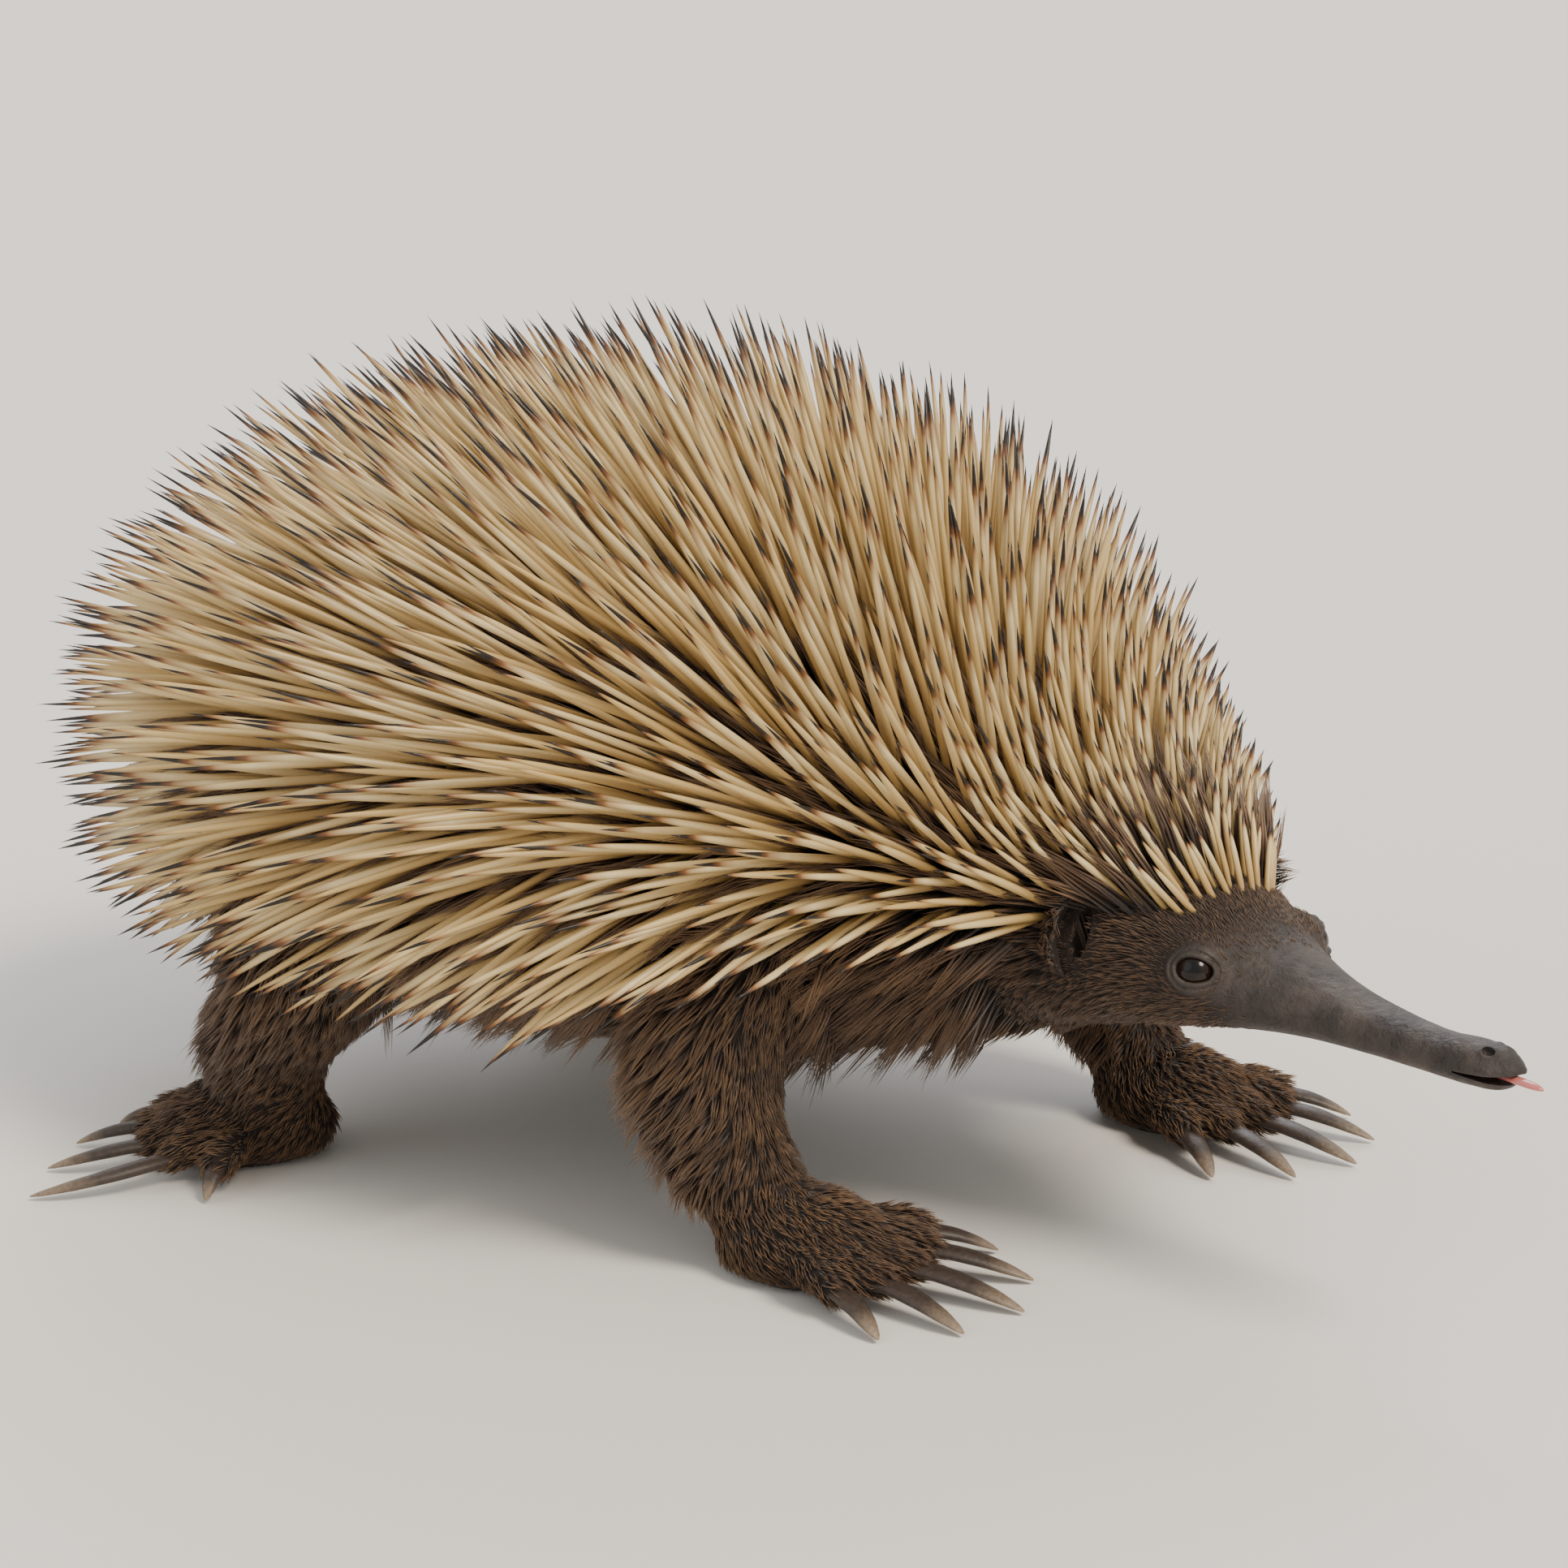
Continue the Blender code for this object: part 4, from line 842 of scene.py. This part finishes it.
def spineModel():  # a round quill, fullest below its middle
    turns = np.arange(6) * math.tau / 6
    circle = np.stack([np.cos(turns), np.sin(turns), np.zeros(6)], axis=1) * 0.5
    shape = ((0, 0.82), (0.3, 1), (0.6, 0.93), (0.8, 0.66), (0.93, 0.3), (1, 0.02))
    return modelOf([loft("quill", [circle * wide + (0, 0, z) for z, wide in shape], pointed=True)])


mapForm = dict(patch=0.003, edge=0.01)  # side of a tuft's patch on its piece's map, and the map's free edge


def overMap(places):  # an unwrap's two directions, spread over the whole map
    low, high = places.min(axis=0), places.max(axis=0)
    return mapForm["edge"] + (places - low) / (high - low) * (1 - 2 * mapForm["edge"])


def plant(name, models, spots, material):
    # spots holds roots, outs, ways, lengths, widths, bows, sways, tints and places on the map, one row for each
    picks = rng.randint(len(models), size=len(spots["root"]))
    places = overMap(spots["place"])
    parts, start = [], 0
    for k, model in enumerate(models):
        at = {key: value[picks == k] for key, value in spots.items()}
        count = len(at["root"])
        if not count:
            continue
        side = unit(np.cross(at["way"], at["out"]))
        over = np.cross(side, at["way"])
        x, y, z = model["points"].T
        bow = 4 * at["bow"][:, None] * at["length"][:, None] * z * (1 - z)
        sway = at["sway"][:, None] * at["length"][:, None] * z**2
        points = at["root"][:, None] + side[:, None] * (at["width"][:, None] * x + sway)[..., None]
        points += over[:, None] * (at["width"][:, None] * y + bow)[..., None]
        points += at["way"][:, None] * (at["length"][:, None] * z)[..., None]
        points[..., 2] = np.maximum(points[..., 2], 0.1 * mm)
        loops = model["loops"][None] + (start + np.arange(count) * len(x))[:, None]
        patch = np.stack([model["across"] - 0.5, model["along"] - 0.5 + 0.04 * y], axis=1) * mapForm["patch"]
        uv = (places[picks == k][:, None] + patch[None])[:, model["loops"]]
        parts.append((points.reshape(-1, 3), loops.ravel(), np.tile(model["sizes"], count),
                      np.tile(model["along"], count), np.repeat(at["tint"], len(x)), uv.reshape(-1, 2)))
        start += count * len(x)
    points, loops, sizes, along, tint, uv = (np.concatenate(column) for column in zip(*parts))
    data = bpy.data.meshes.new(name)
    data.vertices.add(len(points))
    data.vertices.foreach_set("co", points.ravel())
    data.loops.add(len(loops))
    data.loops.foreach_set("vertex_index", loops)
    data.polygons.add(len(sizes))
    data.polygons.foreach_set("loop_start", np.concatenate([[0], np.cumsum(sizes)[:-1]]))
    data.polygons.foreach_set("use_smooth", np.ones(len(sizes), bool))
    data.update(calc_edges=True)
    for key, values in (("along", along), ("tint", tint)):
        data.attributes.new(key, "FLOAT", "POINT").data.foreach_set("value", values)
    data.uv_layers.new(name="OFBake").data.foreach_set("uv", uv.ravel())
    made = bpy.data.objects.new(name, data)
    bpy.context.scene.collection.objects.link(made)
    made.data.materials.append(material)
    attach(made, "root")
    print(name, len(spots["root"]), "planted,", int((sizes - 2).sum()), "triangles")
    return made


def trunkPlaces(points):
    s, angle, _ = placeOf(points)
    return np.stack([s, (angle + math.pi / 2) % math.tau], axis=1)


def legPlaces(points):  # each leg or foot has a quarter of the map: front or hind, left or right
    places = np.zeros((len(points), 2))
    for limb in limbs:
        front, left = limb["name"].startswith("front"), limb["side"] > 0
        mine = ((points[:, 0] > -20 * mm) == front) & ((points[:, 1] > 0) == left)
        if mine.any():
            share, _, turn = legPlace(points[mine], limb)
            share = share - points[mine, 2] / 0.2
            places[mine] = overMap(np.stack([turn, share], axis=1)) * 0.49 + (0.505 * front, 0.505 * left)
    return places


def lieAt(points, outs):  # the way back along the trunk and the way down its side
    s, angle, _ = placeOf(points)
    heading = np.interp(s, backboneS, backboneHeading)
    back = -np.stack([np.cos(heading), np.sin(heading), np.zeros(len(s))], axis=1)
    back = unit(back - outs * (back * outs).sum(axis=1)[:, None])
    down = np.array((0, 0, -1.0)) - outs * (outs @ np.array((0, 0, -1.0)))[:, None]
    down = unit(down - back * (down * back).sum(axis=1)[:, None])
    return s, angle, back, down


def lifted(along, outs, lift):  # lift in degrees
    lift = np.radians(lift)[:, None]
    along = unit(along - outs * (along * outs).sum(axis=1)[:, None])
    return unit(along * np.cos(lift) + outs * np.sin(lift))


def turnedBy(along, outs, degrees):  # a lie turned about the normals
    angle = np.radians(degrees)[:, None]
    return along * np.cos(angle) + np.cross(outs, along) * np.sin(angle)


def tuftSpots(points, outs, along, length, width, lift, places, bow=0.05, loose=12):
    count = len(points)
    yaw = 16 * drift(points, 22, 1) + loose * rng.uniform(-1, 1, count)
    lift = lift + 5 * drift(points, 9, 2) + 4 * rng.uniform(-1, 1, count)
    length = length * mm * (1 + 0.16 * rng.uniform(-1, 1, count))
    way = lifted(turnedBy(along, outs, yaw), outs, np.maximum(lift, 4))
    way[:, 2] = np.maximum(way[:, 2], (1.4 * mm - points[:, 2]) / length)  # rests on the floor, not in it
    way = unit(way)
    tint = np.clip(0.5 + 0.28 * drift(points, 30, 3) + 0.3 * rng.uniform(-1, 1, count), 0, 1)
    return dict(root=points - outs * (0.5 * mm), out=outs, way=way, length=length,
                width=np.broadcast_to(width, count) * mm * rng.uniform(0.8, 1.2, count),
                bow=bow * rng.uniform(0.4, 1.6, count), sway=0.1 * rng.uniform(-1, 1, count),
                tint=tint, place=places)


# Spines: cream quills with dark tips, in a fan over the back from the crown to the tail

spineForm = dict(closer=0.5, thick=2.3, lengthVaried=0.13, liftVaried=5, splayVaried=8, swirl=9, splay=34, sunk=2)
# Distance along the backbone, length over the coat, spacing in the solids, lift in degrees.
spineFields = np.array([
    (-149, 42, 9.4, 36),
    (-120, 48, 9.8, 42),
    (-60, 54, 10.3, 47),
    (20, 52, 10.1, 50),
    (70, 44, 8.8, 57),
    (105, 36, 8.2, 62),
    (125, 27, 7.6, 62),
    (142, 18, 7.2, 58),
    (158, 10, 6.4, 44),
])
backLow = ((-149, -28), (-100, -20), (-40, -16), (40, -12), (90, 4), (112, 10))
crownLow = ((112, 10), (120, 8), (158, 52))
flankSpine = dict(length=0.78, lift=0.78)
edgeSpine = dict(length=0.56, lift=0.5)


def spineScatter(lows, tries):
    stations, degrees = zip(*lows)
    s = rng.uniform(stations[0], stations[-1], tries) * mm
    ragged = 5 * rng.uniform(-1, 1, tries) * smoothStep(110, 140, s / mm)  # degrees, so that no row shows
    low = np.radians(np.interp(s / mm, stations, degrees) + ragged)
    angle = low + rng.uniform(0, 1, tries) * (math.pi - 2 * low)
    core = skinAt(s, angle) + normalAt(s, angle) * coatDepth(s, angle)[:, None]
    across = skinAt(s, angle + 0.01) - skinAt(s, angle - 0.01)
    along = skinAt(s + mm, angle) - skinAt(s - mm, angle)
    area = np.linalg.norm(np.cross(across, along), axis=1) * (math.pi - 2 * low)
    apart = np.interp(s / mm, spineFields[:, 0], spineFields[:, 2]) * spineForm["closer"] * mm
    chance = area / apart**2
    held = rng.uniform(0, chance.max(), tries) < chance
    for side in (1, -1):
        held &= np.linalg.norm(skinAt(s, angle) - earAxes(side)[0], axis=1) > 12.5 * mm
    kept = np.flatnonzero(held)[thinned(core[held], apart[held])]
    return s[kept], angle[kept]


def spineSpots(s, angle):
    count = len(s)
    fieldAt = [np.interp(s / mm, spineFields[:, 0], spineFields[:, column]) for column in (1, 3)]
    out = normalAt(s, angle)
    depth = coatDepth(s, angle)
    core = skinAt(s, angle) + out * depth[:, None]
    _, _, back, down = lieAt(core, out)
    height = np.sin(angle)
    flank, edge = 1 - smoothStep(0, 0.85, height), 1 - smoothStep(-0.45, 0, height)
    longer = 1 + (flankSpine["length"] - 1) * flank + (edgeSpine["length"] - flankSpine["length"]) * edge
    ease = 1 + (flankSpine["lift"] - 1) * flank + (edgeSpine["lift"] - flankSpine["lift"]) * edge
    varied = spineForm["lengthVaried"] * (1 + 1.6 * smoothStep(120, 158, s / mm))
    length = fieldAt[0] * mm * longer * (1 + varied * rng.uniform(-1, 1, count))
    lift = np.radians(fieldAt[1] * ease + spineForm["liftVaried"] * rng.uniform(-1, 1, count))
    splay = spineForm["splay"] * (0.75 * flank + 0.25 * edge)
    splay = splay + spineForm["splayVaried"] * rng.uniform(-1, 1, count)
    splay = np.radians(splay + spineForm["swirl"] * drift(core, 40, 4))[:, None]
    along = back * np.cos(splay) + down * np.sin(splay)
    way = unit(along * np.cos(lift)[:, None] + out * np.sin(lift)[:, None])
    below = (depth + spineForm["sunk"] * mm) / np.sin(np.maximum(lift, 0.5))
    thick = spineForm["thick"] * mm * (0.66 + 0.34 * np.minimum(1, length / (42 * mm)))
    return dict(root=core - way * below[:, None], out=out, way=way, length=length + below,
                width=thick * rng.uniform(0.85, 1.12, count), bow=0.012 * rng.uniform(-0.2, 1.4, count),
                sway=0.02 * rng.uniform(-1, 1, count), tint=rng.uniform(0, 1, count),
                place=np.stack([s, angle], axis=1))


def part(spots, rows):
    return {key: value[rows] for key, value in spots.items()}


quill = [spineModel()]
stationsOf, anglesOf = spineScatter(backLow, 60000)
allSpines = spineSpots(stationsOf, anglesOf)
for word, rows in (("right", anglesOf > math.pi / 2), ("left", anglesOf <= math.pi / 2)):
    plant("spines_" + word, quill, part(allSpines, rows), quillMaterial)
crown = spineSpots(*spineScatter(crownLow, 12000))
plant("spines_crown", quill, crown, quillMaterial)


# Fur under and between the spines, and over the rest of the body

tufts = [hairTuft(6, seed, radius=0.14) for seed in (1, 2, 3)]
fineTufts = [hairTuft(8, seed, radius=0.1) for seed in (7, 8, 9)]
smallTufts = [hairTuft(4, seed, radius=0.14) for seed in (4, 5, 6)]
upOnBack = onTrunk & (sine > edgeSine - 0.08) & (middleS < 156 * mm)
underBody = onTrunk & (sine < -0.62) & (middleS < 116 * mm)
alongFlank = onTrunk & (sine <= edgeSine - 0.08) & (sine >= -0.62) & (middleS < 116 * mm)
onHead = onTrunk & (middleS >= 116 * mm) & ~upOnBack & (middleS < 188 * mm)

furForms = dict(
    back=dict(spacing=3.2, length=29, width=3.0, lift=44),
    belly=dict(spacing=3.1, length=14, width=2.7, lift=18),
    flank=dict(spacing=2.6, length=25, width=2.8, lift=24),
    leg=dict(spacing=2.2, front=8, behind=17, width=2.2, lift=20),
    foot=dict(spacing=1.6, length=5.5, width=1.5, lift=20),
    tail=dict(spacing=2.4, length=14, width=2.4, lift=30),
)
# Hair of the head and neck: distance along the backbone, length, spacing, width and lift.
headFur = np.array([
    (112, 15, 2.3, 2.2, 26),
    (130, 9.5, 1.8, 1.7, 24),
    (150, 5.8, 1.35, 1.3, 19),
    (165, 3.6, 1.1, 1.0, 15),
    (186, 2.0, 0.9, 0.75, 10),
])


def keepClear(points):  # off the lids
    clear = np.ones(len(points), bool)
    for side in (1, -1):
        centre, out, *_ = eyeAxes(side)
        rel = points - centre
        off = np.linalg.norm(rel - np.outer(rel @ out, out), axis=1)
        clear &= (off > 6 * mm) | (np.linalg.norm(rel, axis=1) > 9 * mm)
    return clear


def earShort(points):  # how much of its length a hair keeps beside the ear's slit
    keep = np.ones(len(points))
    for side in (1, -1):
        middle, _, ahead, up, _ = earAxes(side)
        rel = points - middle - ahead * mm
        off = np.hypot(rel @ ahead, np.maximum(np.abs(rel @ up) - 6 * mm, 0))
        keep = np.minimum(keep, 0.28 + 0.72 * smoothStep(3, 13, off / mm))
    return keep


def trunkFur(name, chosen, form, models, downwards):
    points, outs = spread(chosen, form["spacing"])
    s, angle, back, down = lieAt(points, outs)
    along = back + down * downwards(np.sin(angle))[:, None]
    plant(name, models, tuftSpots(points, outs, along, form["length"], form["width"], form["lift"],
                                  trunkPlaces(points)), furMaterial)


for word, rows in (("right", middles[:, 1] < 0), ("left", middles[:, 1] >= 0)):
    trunkFur("fur_back_" + word, upOnBack & rows, furForms["back"], tufts,
             lambda up: 0.7 * (1 - smoothStep(0, 0.9, up)))
    trunkFur("fur_flank_" + word, alongFlank & rows, furForms["flank"], fineTufts, lambda up: 0.55 + 0 * up)
trunkFur("fur_belly", underBody, furForms["belly"], tufts, lambda up: 0.15 + 0 * up)

points, outs = spread(onHead, np.interp(middleS / mm, headFur[:, 0], headFur[:, 2]), 6)
s, angle, back, down = lieAt(points, outs)
fade = smoothStep(166, 187, s / mm + 3 * drift(points, 7, 5) - 2 * np.sin(angle))
kept = keepClear(points) & (rng.uniform(0, 1, len(s)) > fade)
points, outs, s, angle, back, down = (value[kept] for value in (points, outs, s, angle, back, down))
length, _, width, lift = (np.interp(s / mm, headFur[:, 0], headFur[:, column]) for column in (1, 2, 3, 4))
downwards = 0.35 * (1 - smoothStep(0.2, 0.9, np.sin(angle))) * (1 - smoothStep(140, 172, s / mm))
along = back + down * downwards[:, None]
length = length * earShort(points)
headSpots = tuftSpots(points, outs, along, length, width, lift, trunkPlaces(points), loose=9)
for word, rows in (("neck", s < 142 * mm), ("face", s >= 142 * mm)):
    plant("fur_" + word, fineTufts if word == "neck" else smallTufts, part(headSpots, rows), furMaterial)

# The back of each ear's fold is haired out to its rim, and its hollow side is bare.
normals = unit(edgesOut)
earSpots = []
for side in (1, -1):
    middle, out, ahead, up, _ = earAxes(side)
    rel = middles - middle
    fold = nearEar & (np.linalg.norm(rel, axis=1) < 15 * mm) & (rel @ out > 0.5 * mm) & (middleOff > 1.02)
    points, outs = spread(fold & (normals @ ahead < 0.1), 1.5, 6)
    rel = points - middle
    places = overMap(np.stack([rel @ up, rel @ out], axis=1)) * (0.49, 1) + (0.505 * (side < 0), 0)
    along = np.tile(out - ahead * 0.4, (len(points), 1)) + np.outer(rel @ up / (11 * mm), up) * 0.5
    length = 4.5 + 2.5 * smoothStep(0, 8, rel @ out / mm)
    earSpots.append(tuftSpots(points, outs, along, length, 1.3, 16, places, loose=14))
earSpots = {key: np.concatenate([spots[key] for spots in earSpots]) for key in earSpots[0]}
plant("fur_ears", smallTufts, earSpots, furMaterial)


def footLie(points):  # forwards and outwards over each foot
    along = np.zeros((len(points), 3))
    for limb in limbs:
        centre, heading = footPlace(limb)
        mine = np.linalg.norm(points - centre, axis=1) < 48 * mm
        ahead = np.array((math.cos(heading), math.sin(heading), 0))
        along[mine] = ahead * 0.9 + unit((points - centre) * (1, 1, 0))[mine] * 0.6 + (0, 0, -0.5)
    return along


def legFur(name, rows, form):
    points, outs = spread(onLeg & rows, form["spacing"])
    along = np.tile((-0.5, 0, -1.0), (len(points), 1))
    along += footLie(points) * (1 - smoothStep(20, 34, points[:, 2] / mm))[:, None]
    back = smoothStep(-0.6, 0.5, -outs[:, 0] + 0.35 * np.abs(outs[:, 1]))
    low = 1 - smoothStep(18, 40, points[:, 2] / mm)
    length = (form["front"] + (form["behind"] - form["front"]) * back) * (1 - 0.45 * low)
    plant(name, fineTufts, tuftSpots(points, outs, along, length, form["width"], form["lift"], legPlaces(points)),
          furMaterial)


legFur("fur_front_legs", frontHalf, furForms["leg"])
legFur("fur_hind_legs", ~frontHalf, furForms["leg"])

points, outs = spread(onFoot & (middles[:, 2] > 2.5 * mm), furForms["foot"]["spacing"])
along = footLie(points)
clear = np.ones(len(points), bool)
for limb in limbs:
    for toe in limb["toes"]:
        root, tip, way = toeLine(limb, toe)
        clear &= ~(((points - tip) @ way > -0.5 * mm) & (np.linalg.norm(points - tip, axis=1) < 7 * mm))
clear &= np.linalg.norm(np.cross(unit(along), outs), axis=1) > 0.45  # none stands up in the clefts of the toes
points, outs, along = points[clear], outs[clear], along[clear]
form = furForms["foot"]
plant("fur_feet", smallTufts, tuftSpots(points, outs, along, form["length"], form["width"], form["lift"],
                                        legPlaces(points)), furMaterial)

def tailPlaces(points):
    return np.stack([np.arctan2(points[:, 1], points[:, 2] - 72 * mm), points[:, 0]], axis=1)


points, outs = spread(onTail, furForms["tail"]["spacing"])
along = np.tile((-1.0, 0, -0.25), (len(points), 1))
form = furForms["tail"]
plant("fur_tail", fineTufts, tuftSpots(points, outs, along, form["length"], form["width"], form["lift"],
                                       tailPlaces(points)), furMaterial)

tailSpine = dict(spacing=4.0, length=31, lift=22, thick=2.0)
points, outs = spread(onTail & (middles[:, 0] < -150 * mm + shift[0]), tailSpine["spacing"])
upper = outs[:, 2] > -0.45
points, outs = points[upper], outs[upper]
along = np.tile((-1.0, 0, -0.12), (len(points), 1))
tailQuills = tuftSpots(points, outs, along, tailSpine["length"], tailSpine["thick"], tailSpine["lift"],
                       tailPlaces(points), bow=0.01, loose=7)
tailQuills["sway"] *= 0.2
tailQuills["root"] -= outs * mm
tailQuills["tint"] = rng.uniform(0, 1, len(points))
plant("spines_tail", quill, tailQuills, quillMaterial)
print("coat planted")


# Eyes, claws and tongue

for side, word in ((1, "left"), (-1, "right")):
    centre, out, ahead, up = eyeAxes(side)
    clearSelection()
    bpy.ops.mesh.primitive_uv_sphere_add(segments=48, ring_count=32, radius=eyeForm["radius"] * mm)
    eye = bpy.context.object
    eye.name = "eyeball_" + word
    turned = Matrix((ahead, up, out)).transposed().to_4x4()
    eye.data.attributes.new("look", "FLOAT", "POINT").data.foreach_set("value", pointsOf(eye)[:, 2] / mm)
    eye.data.transform(Matrix.Translation(centre) @ turned)
    if side < 0:
        eye.data.flip_normals()
    bpy.ops.object.shade_smooth()
    eye.data.materials.append(eyeMaterial)
    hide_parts("eye_" + word)
    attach(eye, "root")

clawForm = dict(rings=14, sides=14, rooted=4.5)


def clawSolid(limb, toe):  # grows out of the end of its toe, curved down to just over the floor
    *_, length, width, thick, bend = toe
    _, tip, way = toeLine(limb, toe)
    shares = np.linspace(0, 1, clawForm["rings"])
    turns = math.atan2(way[1], way[0]) + math.radians(bend) * limb["side"] * shares
    steps = np.diff(shares)[:, None] * length * mm
    mids = (turns[1:] + turns[:-1]) / 2
    path = np.zeros((len(shares), 3))
    path[1:, :2] = np.cumsum(np.stack([np.cos(mids), np.sin(mids)], 1) * steps, axis=0)
    path += tip
    path[:, 2] = (toeForm["height"] + (toeForm["tipHeight"] - toeForm["height"]) * shares**1.7) * mm
    taper = np.interp(shares, (0, 0.35, 0.72, 0.93, 1), (1, 0.98, 0.72, 0.36, 0.12))
    path = np.vstack([path[0] - way * clawForm["rooted"] * mm, path])
    taper = np.concatenate([[0.9], taper])
    rings = ringsAlong(path, [(width / 2 * t * mm, thick / 2 * t * mm) for t in taper], clawForm["sides"])
    for ring, point in zip(rings, path):  # flatter under than over
        rise = ring[:, 2] - point[2]
        ring[:, 2] = point[2] + np.where(rise < 0, rise * 0.72, rise)
    return loft("claw", rings)


for limb in limbs:
    claws = joined(limb["name"] + "_claws", *[clawSolid(limb, toe) for toe in limb["toes"]])
    bpy.ops.object.shade_smooth_by_angle(angle=math.radians(60))
    claws.data.materials.append(clawMaterial)
    end, word = limb["name"].split("_")
    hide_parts(*[f"{end}_claw_{word}_{number}" for number in range(1, 6)])
    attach(claws, "root")

tongueForm = dict(start=240, end=256.4, wide=3.2, thick=1.7, droop=0.5)
path, halves = [], []
for share in np.linspace(0, 1, 14):
    s = tongueForm["start"] + share * (tongueForm["end"] - tongueForm["start"])
    path.append(besideBackbone(s * mm, 0, (mouthForm["height"] - tongueForm["droop"] * share**3) * mm))
    fat = math.sqrt(max(1 - max(0, (share - 0.55) / 0.45) ** 2.4, 0.02))
    halves.append((tongueForm["wide"] / 2 * fat * mm, tongueForm["thick"] / 2 * fat**0.7 * mm))
tongue = loft("tongue_skin", ringsAlong(path, halves, 20))
bpy.ops.object.shade_smooth()
tongue.data.materials.append(tongueMaterial)
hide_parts("tongue")
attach(tongue, "root")

skin.data.materials.clear()
skin.data.materials.append(skinMaterial)
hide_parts("torso", "head", "snout", "tail", "ear_left", "ear_right", *[
    f"{end}_{part_}_{word}" for end in ("front", "hind") for part_ in ("leg", "foot") for word in ("left", "right")])
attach(skin, "root")
print("animal whole")


# Floor, light and camera

stageForm = dict(azimuth=35, elevation=14, lens=85, distance=0.958, aim=(0.0085, 0, 0.0975), paper="#E9E6E0")
clearSelection()
bpy.ops.mesh.primitive_plane_add(size=60)
floor = bpy.context.object
floor.name = "floor"
floor.data.materials.append(floorMaterial)

world = bpy.data.worlds.new("studio")
bpy.context.scene.world = world
world.use_nodes = True
world.node_tree.nodes["Background"].inputs["Color"].default_value = linear(stageForm["paper"])
world.node_tree.nodes["Background"].inputs["Strength"].default_value = 1.0


def studioLight(name, azimuth, elevation, power, spread_, colour):  # far and broad, so that the floor is evenly lit
    clearSelection()
    bpy.ops.object.light_add(type="SUN")
    lamp = bpy.context.object
    lamp.name = name
    a, e = math.radians(azimuth), math.radians(elevation)
    way = Vector((math.sin(a) * math.cos(e), -math.cos(a) * math.cos(e), math.sin(e)))
    lamp.rotation_euler = way.to_track_quat("Z", "Y").to_euler()
    lamp.data.energy = power
    lamp.data.angle = math.radians(spread_)
    lamp.data.color = linear(colour)[:3]


studioLight("key", 82, 50, 3.0, 22, "#FFF3E2")
studioLight("rim", 215, 34, 1.3, 30, "#F2F5FF")
studioLight("fill", -30, 30, 0.35, 50, "#E6EEFF")

clearSelection()
bpy.ops.object.camera_add()
camera = bpy.context.object
a, e = math.radians(stageForm["azimuth"]), math.radians(stageForm["elevation"])
way = Vector((math.sin(a) * math.cos(e), -math.cos(a) * math.cos(e), math.sin(e)))
camera.location = Vector(stageForm["aim"]) + way * stageForm["distance"]
camera.rotation_euler = way.to_track_quat("Z", "Y").to_euler()
camera.data.lens = stageForm["lens"]
bpy.context.scene.camera = camera

clearSelection()
